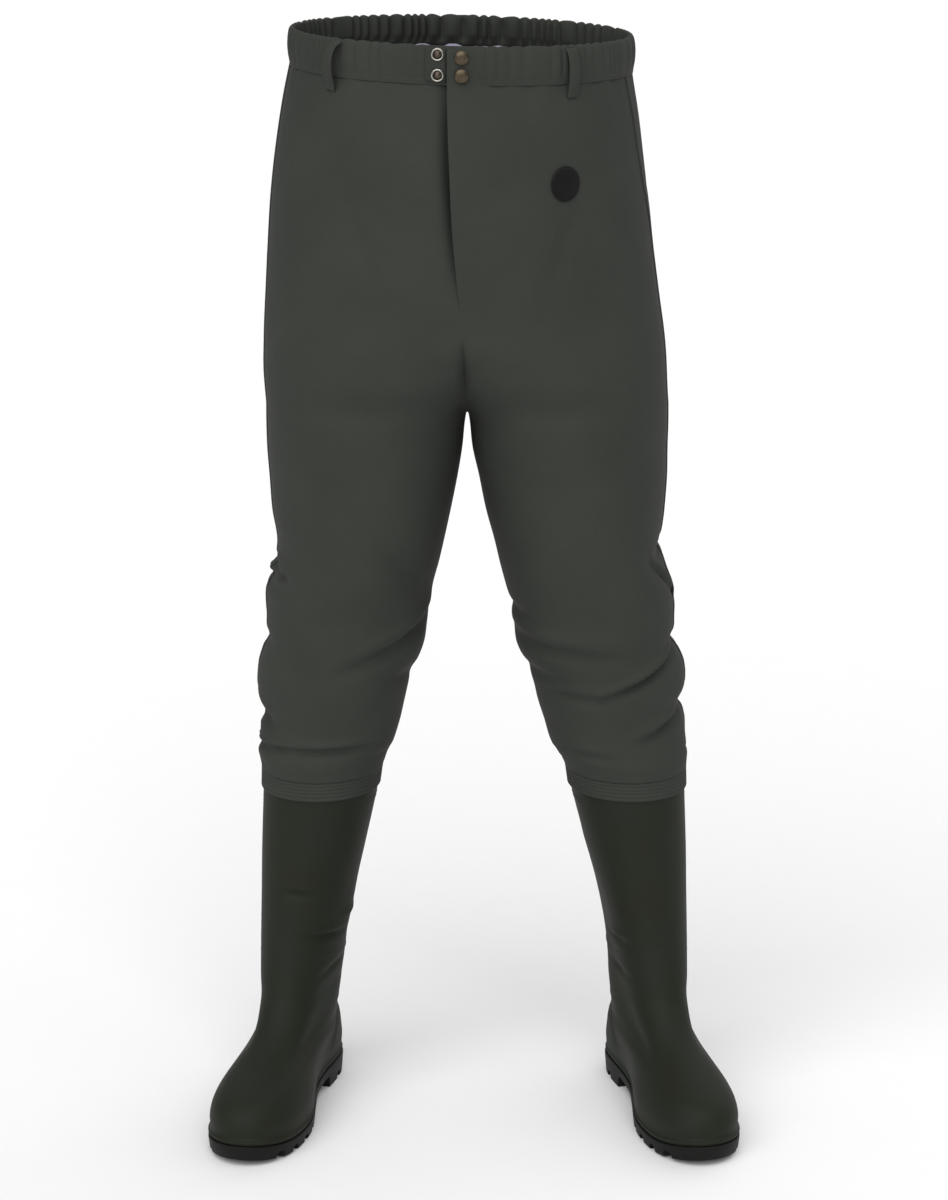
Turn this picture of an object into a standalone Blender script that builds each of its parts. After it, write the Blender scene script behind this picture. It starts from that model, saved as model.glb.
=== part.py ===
"""A waist wader: coated-cloth trousers joined to a pair of moulded boots.

Metres, +Z up. The front faces -Y, the wearer's left is +X and the soles stand on Z = 0.
Side +1 is the wearer's left and side -1 the wearer's right. Angles round a leg or a boot
start at the front and pass the outer side, the back and the inner side.
"""
import math
from collections import namedtuple

import bmesh
import bpy
from mathutils import Vector

SIDES = {"left": 1, "right": -1}
SHARP_ANGLE = math.radians(40.0)

# Walls and clearances
CLOTH_WALL = 0.0013
BOOT_WALL = 0.0026
GAP = 0.0004
FACET_GAP = 0.0011

# Waist: the rim lies on a plane that rises towards the back
WAIST_Z = 1.138
WAIST_SLOPE = 0.047
WAIST_TILT_FROM = 1.06
BAND_HEIGHT = 0.036
BAND_COLUMNS = 48
BAND_GATHER = 0.0016

# Columns of the shell: a leg ring has the panel columns and the crotch columns
LEG_COLUMNS = 24
CROTCH_COLUMNS = 2
PANEL_COLUMNS = LEG_COLUMNS - CROTCH_COLUMNS
COLUMN_STEP = 360.0 / LEG_COLUMNS
FRONT_SEAM = -90.0 + COLUMN_STEP * CROTCH_COLUMNS / 2
SIDE_COLUMN = PANEL_COLUMNS // 2

# Boots: the foot's own frame starts at the back of the heel
HEEL_X = 0.1775
HEEL_Y = 0.1014
TOE_OUT = math.radians(14.5)
TOE_BEND = 0.002
TOE_BEND_FROM = 0.12
TOE_BEND_OVER = 0.18
TOE_ROUND = 4.0
ARCH_PINCH = 0.006
ARCH_STATION = 0.42
ARCH_REACH = 0.16
WIDEN_FROM = 0.25
WIDEN_OVER = 0.45
BOOT_COLUMNS = 24

# Sole and insole
SOLE_PROUD = 0.002
SOLE_EDGE = 0.004
SOLE_TAPER = 0.0015
TOE_SPRING = 0.008
TOE_SPRING_FROM = 0.225
SOLE_LENGTH = 0.301
GROOVE_WIDTH = 0.011
GROOVE_DEPTH = 0.0078
GROOVE_INNER = 0.019
HEEL_GROOVES = (0.019, 0.045)
FOREFOOT_GROOVES = (0.160, 0.189, 0.218, 0.246, 0.272)
INSOLE_INSET = 0.0042
INSOLE_THICKNESS = 0.0035

# Joining cuff
CUFF_BOTTOM = 0.348
CUFF_TOP = 0.374
CUFF_WALL = 0.0018
CUFF_RIB = 0.0009
CUFF_RIBS = 3

# Side seam tape
TAPE_HALF_WIDTH = 0.008
TAPE_THICKNESS = 0.0009

# Fly flap and its press studs
FLAP_WIDTH = 0.045
FLAP_TOP_HEIGHT = 0.0345
FLAP_LIFT = 0.009
FLAP_CURL = 1.6
FLAP_THICKNESS = 0.0014
BAND_PROUD = 0.0036
STUD_X = -0.0358
CAP_X = -0.0125
STUD_HEIGHTS = {"upper": 0.028, "lower": 0.0075}
CAP_HEIGHTS = {"upper": 0.0255, "lower": 0.0075}
SNAP_SEGMENTS = 10

# Badge
BADGE_X = 0.092
BADGE_Z = 1.033
BADGE_HALF_WIDTH = 0.0145
BADGE_HALF_HEIGHT = 0.0175
BADGE_THICKNESS = 0.0014
BADGE_SEGMENTS = 14

# Belt loops: the angle round the waist of each one
LOOP_ANGLES = {"front_left": 39.0, "front_right": -48.0, "back": 180.0}
LOOP_HALF_WIDTH = 0.0062
LOOP_THICKNESS = 0.0016

# Trouser sections above the crotch. split turns the ring from one oval into two leg ovals
TorsoRow = namedtuple("TorsoRow", "z lean y half_width front back split")
TORSO = [TorsoRow(*row) for row in (
    (WAIST_Z, -0.013, 0.026, 0.176, 0.138, 0.140, 0.0),
    (1.102, -0.014, 0.026, 0.183, 0.147, 0.149, 0.0),
    (1.055, -0.015, 0.026, 0.190, 0.155, 0.157, 0.0),
    (1.005, -0.015, 0.026, 0.196, 0.160, 0.162, 0.0),
    (0.950, -0.014, 0.026, 0.201, 0.163, 0.165, 0.0),
    (0.895, -0.012, 0.025, 0.206, 0.166, 0.166, 0.06),
    (0.850, -0.010, 0.023, 0.210, 0.183, 0.176, 0.30),
    (0.815, -0.009, 0.021, 0.212, 0.190, 0.180, 0.64),
    (0.785, -0.007, 0.019, 0.211, 0.148, 0.145, 1.0),
)]

# Leg sections below the crotch. out is the centre's distance from the middle, turn the toe-out
LegRow = namedtuple("LegRow", "z lean out y half_width half_depth turn")
LEGS = [LegRow(*row) for row in (
    (0.785, -0.007, 0.1055, 0.019, 0.1060, 0.135, 0.0),
    (0.766, -0.007, 0.1070, 0.016, 0.1045, 0.130, 0.0),
    (0.740, -0.007, 0.1080, 0.015, 0.1030, 0.125, 0.0),
    (0.708, -0.006, 0.1105, 0.016, 0.0995, 0.1215, 0.0),
    (0.672, -0.006, 0.1130, 0.018, 0.0950, 0.118, 1.0),
    (0.632, -0.005, 0.1160, 0.020, 0.0885, 0.1125, 2.0),
    (0.610, -0.005, 0.1210, 0.021, 0.0885, 0.109, 2.5),
    (0.588, -0.005, 0.1275, 0.021, 0.0892, 0.103, 3.0),
    (0.565, -0.004, 0.1305, 0.022, 0.0880, 0.096, 4.0),
    (0.543, -0.004, 0.1325, 0.0235, 0.0862, 0.093, 5.0),
    (0.520, -0.004, 0.1355, 0.0265, 0.0858, 0.089, 6.0),
    (0.497, -0.003, 0.1440, 0.0295, 0.0852, 0.086, 7.0),
    (0.475, -0.003, 0.1495, 0.0325, 0.0825, 0.083, 8.0),
    (0.452, -0.003, 0.1505, 0.037, 0.0782, 0.080, 9.0),
    (0.428, -0.002, 0.1550, 0.0415, 0.0765, 0.078, 10.0),
    (0.404, -0.002, 0.1598, 0.0428, 0.0742, 0.0775, 12.5),
    (0.388, -0.001, 0.1640, 0.0418, 0.0716, 0.0775, 14.0),
)]

# Leg folds: soft troughs (depth below zero) and ridges. slope is the rise per degree
Fold = namedtuple("Fold", "side z angle slope reach height depth")
FOLDS = [Fold(*row) for row in (
    (-1, 0.605, -34, 0.0, 20, 0.018, -0.006),
    (-1, 0.583, 48, 0.0, 14, 0.012, -0.004),
    (-1, 0.516, -50, -0.0009, 32, 0.013, -0.009),
    (-1, 0.396, 20, -0.0001, 60, 0.010, -0.005),
    (-1, 0.572, 180, 0.0, 45, 0.014, -0.015),
    (-1, 0.473, 180, 0.0, 48, 0.012, -0.010),
    (-1, 0.432, 42, 0.0004, 28, 0.012, -0.006),
    (1, 0.512, -40, -0.0004, 30, 0.012, -0.008),
    (1, 0.456, -32, -0.0001, 26, 0.010, -0.006),
    (1, 0.474, 26, 0.0008, 32, 0.012, -0.010),
    (1, 0.409, 34, 0.0008, 24, 0.010, -0.007),
    (1, 0.572, 180, 0.0, 45, 0.014, -0.013),
    (1, 0.468, 180, 0.0, 48, 0.012, -0.010),
)]

# Boot rings from the sole seat to the collar. seat is how far a ring follows the sole's curve
BootRow = namedtuple("BootRow", "front front_z back back_z rear_half fore_half lean square seat")
BOOT = [BootRow(*row) for row in (
    (0.2990, 0.0239, 0.0030, 0.0254, 0.0370, 0.0520, 0.0, 12.0, 1.0),
    (0.3015, 0.0285, 0.0010, 0.0300, 0.0385, 0.0540, 0.0, 12.0, 1.0),
    (0.2985, 0.0320, 0.0025, 0.0340, 0.0375, 0.0522, 0.0, 12.0, 1.0),
    (0.2990, 0.0445, 0.0005, 0.0475, 0.0390, 0.0520, 0.0, 10.0, 0.6),
    (0.2940, 0.0560, 0.0005, 0.0605, 0.0395, 0.0480, 0.0, 8.0, 0.3),
    (0.2810, 0.0655, 0.0020, 0.0740, 0.0395, 0.0405, 0.001, 6.0, 0.0),
    (0.2560, 0.0730, 0.0045, 0.0870, 0.0395, 0.0335, 0.001, 4.0, 0.0),
    (0.2220, 0.0815, 0.0070, 0.0990, 0.0400, 0.0300, 0.002, 3.2, 0.0),
    (0.1890, 0.0945, 0.0080, 0.1120, 0.0405, 0.0310, 0.003, 2.8, 0.0),
    (0.1630, 0.1150, 0.0070, 0.1290, 0.0415, 0.0345, 0.0035, 2.5, 0.0),
    (0.1460, 0.1440, 0.0040, 0.1530, 0.0425, 0.0395, 0.0038, 2.3, 0.0),
    (0.1365, 0.1820, -0.0015, 0.1860, 0.0450, 0.0445, 0.0057, 2.1, 0.0),
    (0.1310, 0.2320, -0.0085, 0.2320, 0.0500, 0.0500, 0.0099, 2.0, 0.0),
    (0.1270, 0.2860, -0.0130, 0.2860, 0.0562, 0.0562, 0.0158, 2.0, 0.0),
    (0.1250, CUFF_BOTTOM, -0.0145, CUFF_BOTTOM, 0.0621, 0.0621, 0.0235, 2.0, 0.0),
    (0.1250, 0.3810, -0.0145, 0.3810, 0.0640, 0.0640, 0.0264, 2.0, 0.0),
)]

# Height of the sole's upper face along the foot
SEAT = ((0.0, 0.0250), (0.30, 0.0238), (0.48, 0.0190), (0.70, 0.0150), (0.85, 0.0168), (1.0, 0.0235))

# Side outline of the hollow under the arch: distance along the foot, height
ARCH_HOLLOW = ((0.074, -0.002), (0.079, 0.0150), (0.126, 0.0118), (0.139, -0.002))

# Band section: outward offset, height
BAND_OUTER = ((0.0, 0.0), (0.0024, 0.007), (0.0030, 0.018), (0.0020, 0.030), (0.0, BAND_HEIGHT))
BAND_INNER = ((-0.0036, 0.0350), (-0.0046, 0.018), (-0.0032, 0.0))

# Belt loop side view: height above the band's lower edge, clearance from the waist oval
LOOP_PATH = ((-0.0150, 0.0038), (-0.0090, 0.0068), (0.0040, 0.0126), (0.0180, 0.0140),
             (0.0290, 0.0108), (0.0350, 0.0046))

# Fly flap rows: height, free edge position, share of the full lift
FlapRow = namedtuple("FlapRow", "z edge lift")
FLAP = [FlapRow(*row) for row in (
    (1.120, -0.0270, 0.15),
    (1.085, -0.0260, 0.65),
    (1.045, -0.0245, 1.0),
    (1.000, -0.0225, 0.85),
    (0.955, -0.0190, 0.55),
    (0.925, -0.0160, 0.25),
    (0.900, -0.0130, 0.0),
)]
FLAP_COLUMNS = (0.0, 0.28, 0.62, 1.0)

# Press stud profiles: radius, height
STUD_PROFILE = ((0.0, 0.0), (0.0062, 0.0), (0.0066, 0.0012), (0.0050, 0.0020), (0.0040, 0.0010),
                (0.0022, 0.0010), (0.0018, 0.0028), (0.0, 0.0032))
CAP_PROFILE = ((0.0, 0.0), (0.0070, 0.0), (0.0071, 0.0009), (0.0050, 0.0022), (0.0, 0.0028))

# Material: name, linear colour, roughness, metallic
CLOTH = ("coated_cloth", (0.054, 0.058, 0.049), 0.62, 0.0)
BAND_CLOTH = ("gathered_cloth", (0.050, 0.054, 0.046), 0.66, 0.0)
BOOT_PVC = ("moulded_pvc", (0.026, 0.030, 0.021), 0.42, 0.0)
SOLE_RUBBER = ("black_rubber", (0.009, 0.009, 0.010), 0.60, 0.0)
INSOLE_FOAM = ("insole_foam", (0.030, 0.030, 0.032), 0.90, 0.0)
STEEL = ("pressed_steel", (0.520, 0.510, 0.480), 0.30, 1.0)
BRASS = ("aged_brass", (0.190, 0.145, 0.085), 0.38, 1.0)
BADGE_PATCH = ("badge_patch", (0.010, 0.010, 0.010), 0.45, 0.0)


def mix(a, b, share):
    """Value between a and b."""
    return a + (b - a) * share


def ease(share):
    """Smooth step from 0 to 1."""
    share = min(max(share, 0.0), 1.0)
    return share * share * (3.0 - 2.0 * share)


def bell(distance):
    """Soft bump of height 1 round 0."""
    return math.exp(-distance * distance)


def read_table(table, key):
    """Straight-line reading of a table of (key, value) rows."""
    for (key_a, value_a), (key_b, value_b) in zip(table, table[1:]):
        if key <= key_b:
            return mix(value_a, value_b, (key - key_a) / (key_b - key_a))
    return table[-1][1]


def material(name, colour, roughness, metallic):
    """Principled material, made once for each name."""
    found = bpy.data.materials.get(name)
    if found:
        return found
    made = bpy.data.materials.new(name)
    made.use_nodes = True
    shader = made.node_tree.nodes["Principled BSDF"]
    shader.inputs["Base Color"].default_value = (*colour, 1.0)
    shader.inputs["Roughness"].default_value = roughness
    shader.inputs["Metallic"].default_value = metallic
    made.diffuse_color = (*colour, 1.0)
    return made


def add_object(name, mesh_data, finish, smooth=True):
    """Turn a bmesh into a named object with its faces out."""
    bmesh.ops.recalc_face_normals(mesh_data, faces=mesh_data.faces)
    mesh = bpy.data.meshes.new(name)
    mesh_data.to_mesh(mesh)
    mesh_data.free()
    mesh.materials.append(material(*finish))
    if smooth:
        mesh.shade_smooth()
        mesh.set_sharp_from_angle(angle=SHARP_ANGLE)
    made = bpy.data.objects.new(name, mesh)
    bpy.context.scene.collection.objects.link(made)
    return made


def give_wall(made, thickness):
    """Hollow wall of even thickness inside a skin."""
    solidify = made.modifiers.new("wall", "SOLIDIFY")
    solidify.thickness = thickness
    solidify.offset = -1.0
    solidify.use_rim = True


def join_rings(mesh_data, rings, closed_ends=False, wrap=False):
    """Skin a list of rings of vertices; wrap joins the last ring to the first."""
    pairs = list(zip(rings, rings[1:]))
    if wrap:
        pairs.append((rings[-1], rings[0]))
    for lower, upper in pairs:
        count = len(lower)
        for index in range(count):
            following = (index + 1) % count
            mesh_data.faces.new((lower[index], lower[following], upper[following], upper[index]))
    if closed_ends:
        mesh_data.faces.new(rings[0])
        mesh_data.faces.new(rings[-1])


def waist_plane(y):
    """Height of the band's lower edge."""
    return WAIST_Z + WAIST_SLOPE * (y - TORSO[0].y)


def leg_angle(column):
    """Angle of a shell column round its leg."""
    return math.radians(FRONT_SEAM + COLUMN_STEP * column)


def fold_push(side, z, angle):
    """Outward push of the folds at a height and angle of one leg."""
    push = 0.0
    for fold in FOLDS:
        if fold.side == side:
            turn = (math.degrees(angle) - fold.angle + 180.0) % 360.0 - 180.0
            rise = z - fold.z - fold.slope * turn
            push += fold.depth * bell(turn / fold.reach) * bell(rise / fold.height)
    return push


def torso_point(row, side, column):
    """Point of the shell above the crotch, from the front seam to the back seam of one side."""
    around = math.pi * column / PANEL_COLUMNS
    angle = leg_angle(column)
    crotch = LEGS[0]
    depth = row.front if around < math.pi / 2 else row.back
    leg_x = crotch.out + crotch.half_width * math.sin(angle)
    x = mix(row.half_width * math.sin(around), leg_x, row.split)
    if column in (0, PANEL_COLUMNS):
        x = 0.0
    y = row.y - mix(depth * math.cos(around), crotch.half_depth * math.cos(angle), row.split)
    tilt = ease((row.z - WAIST_TILT_FROM) / (WAIST_Z - WAIST_TILT_FROM))
    return Vector((row.lean + side * x, y, row.z + tilt * WAIST_SLOPE * (y - row.y)))


def leg_point(row, side, column):
    """Point of the shell below the crotch."""
    angle = leg_angle(column)
    push = fold_push(side, row.z, angle)
    forward = (row.half_depth + push) * math.cos(angle)
    outward = (row.half_width + push) * math.sin(angle)
    turn = math.radians(row.turn)
    x = row.out + outward * math.cos(turn) + forward * math.sin(turn)
    y = row.y + outward * math.sin(turn) - forward * math.cos(turn)
    return Vector((row.lean + side * x, y, row.z))


def torso_rings(side):
    """Half rings of the torso on one side."""
    return [[torso_point(row, side, column) for column in range(PANEL_COLUMNS + 1)] for row in TORSO]


def leg_rings(side):
    """Whole rings of one leg, from below the crotch to the cuff."""
    columns = range(LEG_COLUMNS)
    rings = [[leg_point(row, side, column) for column in columns] for row in LEGS[1:]]
    hem_z = CUFF_TOP + GAP
    rings.append([boot_tube(side, hem_z, leg_angle(column), CUFF_WALL) for column in columns])
    return rings


def front_y(x, z):
    """Depth of the shell's front at a place seen from the front."""
    side = 1 if x >= TORSO[0].lean else -1
    rings = torso_rings(side)
    depths = []
    for ring in rings:
        front = sorted((side * point.x, point.y, point.z) for point in ring[:SIDE_COLUMN + 1])
        ys = [(px, py) for px, py, pz in front]
        zs = [(px, pz) for px, py, pz in front]
        depths.append((read_table(zs, side * x), read_table(ys, side * x)))
    return read_table(sorted(depths), z)


def foot_point(side, along, outward, z):
    """World place of a point in the foot's own frame."""
    x = HEEL_X + along * math.sin(TOE_OUT) + outward * math.cos(TOE_OUT)
    y = HEEL_Y - along * math.cos(TOE_OUT) + outward * math.sin(TOE_OUT)
    return Vector((side * x, y, z))


def boot_plan(row, angle, grow=0.0):
    """Station, distance along and distance outward of a boot ring at an angle."""
    ahead = math.cos(angle)
    station = (1.0 + ahead) / 2.0
    along = mix(row.back - grow, row.front + grow, station)
    half = mix(row.rear_half, row.fore_half, ease((station - WIDEN_FROM) / WIDEN_OVER)) + grow
    power = min(row.square, TOE_ROUND) if ahead > 0.0 else row.square
    width = half * math.sqrt(max(1.0 - abs(ahead) ** power, 0.0))
    outward = math.copysign(width, math.sin(angle))
    if math.sin(angle) < 0.0:
        outward += row.seat * ARCH_PINCH * bell((station - ARCH_STATION) / ARCH_REACH)
    bend = TOE_BEND * ease((along - TOE_BEND_FROM) / TOE_BEND_OVER)
    return station, along, outward - bend - row.lean


def boot_point(row, side, angle):
    """Point of the boot's outer skin."""
    station, along, outward = boot_plan(row, angle)
    level = mix(row.back_z, row.front_z, station)
    curve = read_table(SEAT, station) - mix(SEAT[0][1], SEAT[-1][1], station)
    return foot_point(side, along, outward, level + row.seat * curve)


def boot_tube(side, z, angle, grow):
    """Point round the top of the boot, at a clearance from its skin."""
    low, high = BOOT[-2], BOOT[-1]
    share = (z - low.back_z) / (high.back_z - low.back_z)
    row = BootRow(*(mix(a, b, share) for a, b in zip(low, high)))
    station, along, outward = boot_plan(row, angle, grow)
    return foot_point(side, along, outward, z)


def waist_point(angle, grow, height):
    """Point at an outward offset from the waist oval and a height above the band's lower edge."""
    row = TORSO[0]
    depth = row.front if math.cos(angle) > 0.0 else row.back
    rim_y = row.y - depth * math.cos(angle)
    x = row.lean + (row.half_width + grow) * math.sin(angle)
    y = row.y - (depth + grow) * math.cos(angle)
    return Vector((x, y, waist_plane(rim_y) + height))


def waist_outward(angle):
    """Outward direction of the waist oval."""
    row = TORSO[0]
    depth = row.front if math.cos(angle) > 0.0 else row.back
    return Vector((math.sin(angle) / row.half_width, -math.cos(angle) / depth, 0.0)).normalized()


def build_trousers():
    """One hollow shell: torso, crotch line and both legs."""
    mesh_data = bmesh.new()
    middle = LEGS[0]
    crotch = mesh_data.verts.new((middle.lean, middle.y, middle.z))
    seams = {}
    for side in SIDES.values():
        rows = torso_rings(side)
        grid = []
        for level, points in enumerate(rows):
            ring = []
            for column, point in enumerate(points):
                key = (level, column)
                if column in (0, PANEL_COLUMNS) and key in seams:
                    ring.append(seams[key])
                else:
                    ring.append(mesh_data.verts.new(point))
                    seams[key] = ring[-1]
            grid.append(ring)
        for upper, lower in zip(grid, grid[1:]):
            for column in range(PANEL_COLUMNS):
                corners = (lower[column], lower[column + 1], upper[column + 1], upper[column])
                mesh_data.faces.new(corners)
        legs = [grid[-1] + [crotch]]
        legs += [[mesh_data.verts.new(point) for point in ring] for ring in leg_rings(side)]
        join_rings(mesh_data, legs)
    give_wall(add_object("trouser_shell", mesh_data, CLOTH), CLOTH_WALL)


def build_side_seam(name, side):
    """Flat tape laid on the outer side column of the shell."""
    rings = torso_rings(side) + leg_rings(side)
    mesh_data = bmesh.new()
    sections = []
    for ring in rings:
        centre = ring[SIDE_COLUMN]
        ahead = ring[SIDE_COLUMN - 1] - centre
        behind = ring[SIDE_COLUMN + 1] - centre
        line = [centre + ahead.normalized() * TAPE_HALF_WIDTH, centre,
                centre + behind.normalized() * TAPE_HALF_WIDTH]
        chord = (behind - ahead).cross(Vector((0.0, 0.0, 1.0))).normalized()
        outward = chord if chord.x * side > 0.0 else -chord
        inner = [mesh_data.verts.new(point + outward * GAP) for point in line]
        outer = [mesh_data.verts.new(point + outward * (GAP + TAPE_THICKNESS)) for point in line]
        sections.append(inner + outer[::-1])
    join_rings(mesh_data, sections, closed_ends=True)
    add_object(name, mesh_data, CLOTH)


def build_waistband():
    """Gathered casing that stands on the shell's top edge."""
    mesh_data = bmesh.new()
    columns = []
    for column in range(BAND_COLUMNS):
        angle = 2.0 * math.pi * column / BAND_COLUMNS
        backness = (1.0 - math.cos(angle)) / 2.0
        gather = BAND_GATHER * backness * (-1) ** column
        ring = []
        for offset, height in BAND_OUTER + BAND_INNER:
            middle = math.sin(math.pi * height / BAND_HEIGHT)
            ring.append(mesh_data.verts.new(waist_point(angle, offset + gather * middle, height + GAP)))
        columns.append(ring)
    join_rings(mesh_data, columns, wrap=True)
    add_object("waistband", mesh_data, BAND_CLOTH)


def flap_rows():
    """Rows of the flap: from the band's rim down to its end."""
    rim_y = TORSO[0].y - TORSO[0].front
    base = waist_plane(rim_y)
    over_band = [FlapRow(base + FLAP_TOP_HEIGHT, FLAP[0].edge, 0.0), FlapRow(base, FLAP[0].edge, 0.0)]
    return over_band + FLAP


def flap_depth(row, share):
    """Depth of the flap's inner face at a row and a share of its width."""
    x = row.edge + share * FLAP_WIDTH
    band_base = waist_plane(TORSO[0].y - TORSO[0].front)
    proud = BAND_PROUD * ease((row.z - FLAP[0].z) / (band_base - FLAP[0].z))
    lift = FLAP_LIFT * row.lift * (1.0 - share) ** FLAP_CURL
    return front_y(x, row.z) - FACET_GAP - proud - lift


def build_fly_flap():
    """Overlapping strip whose free edge stands off the front."""
    mesh_data = bmesh.new()
    sections = []
    for row in flap_rows():
        inner = []
        outer = []
        for share in FLAP_COLUMNS:
            x = row.edge + share * FLAP_WIDTH
            y = flap_depth(row, share)
            inner.append(mesh_data.verts.new((x, y, row.z)))
            outer.append(mesh_data.verts.new((x, y - FLAP_THICKNESS, row.z)))
        sections.append(inner + outer[::-1])
    join_rings(mesh_data, sections, closed_ends=True)
    add_object("fly_flap", mesh_data, CLOTH)


def build_turned(name, base, axis, profile, finish):
    """Round piece turned about an axis, from a profile of radius and height."""
    mesh_data = bmesh.new()
    across = axis.cross(Vector((0.0, 0.0, 1.0))).normalized()
    up = across.cross(axis).normalized()
    rings = []
    for radius, height in profile[1:-1]:
        ring = []
        for segment in range(SNAP_SEGMENTS):
            angle = 2.0 * math.pi * segment / SNAP_SEGMENTS
            rim = across * (radius * math.cos(angle)) + up * (radius * math.sin(angle))
            ring.append(mesh_data.verts.new(base + axis * height + rim))
        rings.append(ring)
    join_rings(mesh_data, rings)
    for ring, (radius, height) in ((rings[0], profile[0]), (rings[-1], profile[-1])):
        tip = mesh_data.verts.new(base + axis * height)
        for segment in range(SNAP_SEGMENTS):
            mesh_data.faces.new((ring[segment], ring[(segment + 1) % SNAP_SEGMENTS], tip))
    add_object(name, mesh_data, finish)


def build_snaps():
    """Steel studs on the band and brass caps on the flap."""
    row = TORSO[0]
    rim_y = row.y - row.front
    for place, height in STUD_HEIGHTS.items():
        angle = math.asin((STUD_X - row.lean) / row.half_width)
        base = waist_point(angle, BAND_OUTER[2][0] + GAP, height)
        build_turned("snap_stud_" + place, base, waist_outward(angle), STUD_PROFILE, STEEL)
    for place, height in CAP_HEIGHTS.items():
        angle = math.asin((CAP_X - row.lean) / row.half_width)
        rows = flap_rows()
        share = (CAP_X - rows[0].edge) / FLAP_WIDTH
        depth = flap_depth(rows[0], share) - FLAP_THICKNESS - 2.0 * GAP
        base = Vector((CAP_X, depth, waist_plane(rim_y) + height))
        build_turned("snap_cap_" + place, base, waist_outward(angle), CAP_PROFILE, BRASS)


def build_belt_loop(name, angle):
    """Flat strip bowed out from the band."""
    mesh_data = bmesh.new()
    outward = waist_outward(angle)
    along = outward.cross(Vector((0.0, 0.0, 1.0)))
    base = waist_point(angle, 0.0, 0.0)
    sections = []
    for height, offset in LOOP_PATH:
        middle = base + outward * offset + Vector((0.0, 0.0, height))
        corners = []
        for across, depth in ((-1, 0.0), (1, 0.0), (1, LOOP_THICKNESS), (-1, LOOP_THICKNESS)):
            corner = middle + along * (across * LOOP_HALF_WIDTH) + outward * depth
            corners.append(mesh_data.verts.new(corner))
        sections.append(corners)
    join_rings(mesh_data, sections, closed_ends=True)
    add_object(name, mesh_data, CLOTH)


def build_badge():
    """Plain oval patch that follows the front of the shell."""
    mesh_data = bmesh.new()
    rings = []
    tips = []
    for depth in (FACET_GAP, FACET_GAP + BADGE_THICKNESS):
        ring = []
        for segment in range(BADGE_SEGMENTS):
            angle = 2.0 * math.pi * segment / BADGE_SEGMENTS
            x = BADGE_X + BADGE_HALF_WIDTH * math.cos(angle)
            z = BADGE_Z + BADGE_HALF_HEIGHT * math.sin(angle)
            ring.append(mesh_data.verts.new((x, front_y(x, z) - depth, z)))
        rings.append(ring)
        tips.append(mesh_data.verts.new((BADGE_X, front_y(BADGE_X, BADGE_Z) - depth, BADGE_Z)))
    join_rings(mesh_data, rings)
    for ring, tip in zip(rings, tips):
        for segment in range(BADGE_SEGMENTS):
            mesh_data.faces.new((ring[segment], ring[(segment + 1) % BADGE_SEGMENTS], tip))
    add_object("badge", mesh_data, BADGE_PATCH)


def build_cuff(name, side):
    """Ribbed band round the boot's top, under the trouser hem."""
    pitch = (CUFF_TOP - CUFF_BOTTOM) / (2 * CUFF_RIBS + 1)
    section = [(CUFF_BOTTOM, GAP)]
    for step in range(2 * CUFF_RIBS + 2):
        ridge = CUFF_RIB if step % 2 else 0.0
        section.append((CUFF_BOTTOM + step * pitch, CUFF_WALL + ridge))
    section[-1] = (CUFF_TOP, CUFF_WALL)
    section.append((CUFF_TOP, GAP))
    mesh_data = bmesh.new()
    columns = []
    for column in range(LEG_COLUMNS):
        angle = leg_angle(column)
        columns.append([mesh_data.verts.new(boot_tube(side, z, angle, grow)) for z, grow in section])
    join_rings(mesh_data, columns, wrap=True)
    add_object(name, mesh_data, CLOTH)


def build_boot_upper(name, side):
    """Moulded boot, open at the collar and over the sole."""
    mesh_data = bmesh.new()
    rings = []
    for row in BOOT:
        angles = (2.0 * math.pi * column / BOOT_COLUMNS for column in range(BOOT_COLUMNS))
        rings.append([mesh_data.verts.new(boot_point(row, side, angle)) for angle in angles])
    join_rings(mesh_data, rings)
    give_wall(add_object(name, mesh_data, BOOT_PVC), BOOT_WALL)


def sole_bottom(along):
    """Height of the tread: flat, then rising at the toe."""
    return TOE_SPRING * max((along - TOE_SPRING_FROM) / (SOLE_LENGTH - TOE_SPRING_FROM), 0.0) ** 2


def plate_ring(mesh_data, side, grow, rise, tread=False):
    """Ring of the foot's outline, at a rise above the sole's upper face or above its tread."""
    ring = []
    for column in range(BOOT_COLUMNS):
        station, along, outward = boot_plan(BOOT[0], 2.0 * math.pi * column / BOOT_COLUMNS, grow)
        level = sole_bottom(along) if tread else read_table(SEAT, station)
        ring.append(mesh_data.verts.new(foot_point(side, along, outward, level + rise)))
    return ring


def cap_plate(mesh_data, ring):
    """Strips across the foot between the two halves of a ring."""
    half = len(ring) // 2
    for step in range(half):
        corners = (ring[step], ring[step + 1], ring[-step - 1], ring[-step])
        mesh_data.faces.new(list(dict.fromkeys(corners)))


def add_block(mesh_data, side, outline, outer, inner):
    """Cutter with a side outline of (along, height), from one outward distance to another."""
    ends = []
    for outward in (outer, inner):
        ends.append([mesh_data.verts.new(foot_point(side, along, outward, z)) for along, z in outline])
    join_rings(mesh_data, ends, closed_ends=True)


def sole_cutter(name, side):
    """Arch hollow and side grooves of the tread."""
    mesh_data = bmesh.new()
    reach = 2.0 * BOOT[0].fore_half
    add_block(mesh_data, side, ARCH_HOLLOW, -reach, reach)
    for along in HEEL_GROOVES + FOREFOOT_GROOVES:
        top = sole_bottom(along) + GROOVE_DEPTH
        ahead, behind = along + GROOVE_WIDTH / 2, along - GROOVE_WIDTH / 2
        outline = ((behind, -GROOVE_DEPTH), (behind, top), (ahead, top), (ahead, -GROOVE_DEPTH))
        for hand in (-1, 1):
            add_block(mesh_data, side, outline, hand * GROOVE_INNER, hand * reach)
    cutter = add_object(name, mesh_data, SOLE_RUBBER, smooth=False)
    cutter.hide_render = True
    cutter.display_type = "WIRE"
    return cutter


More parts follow.
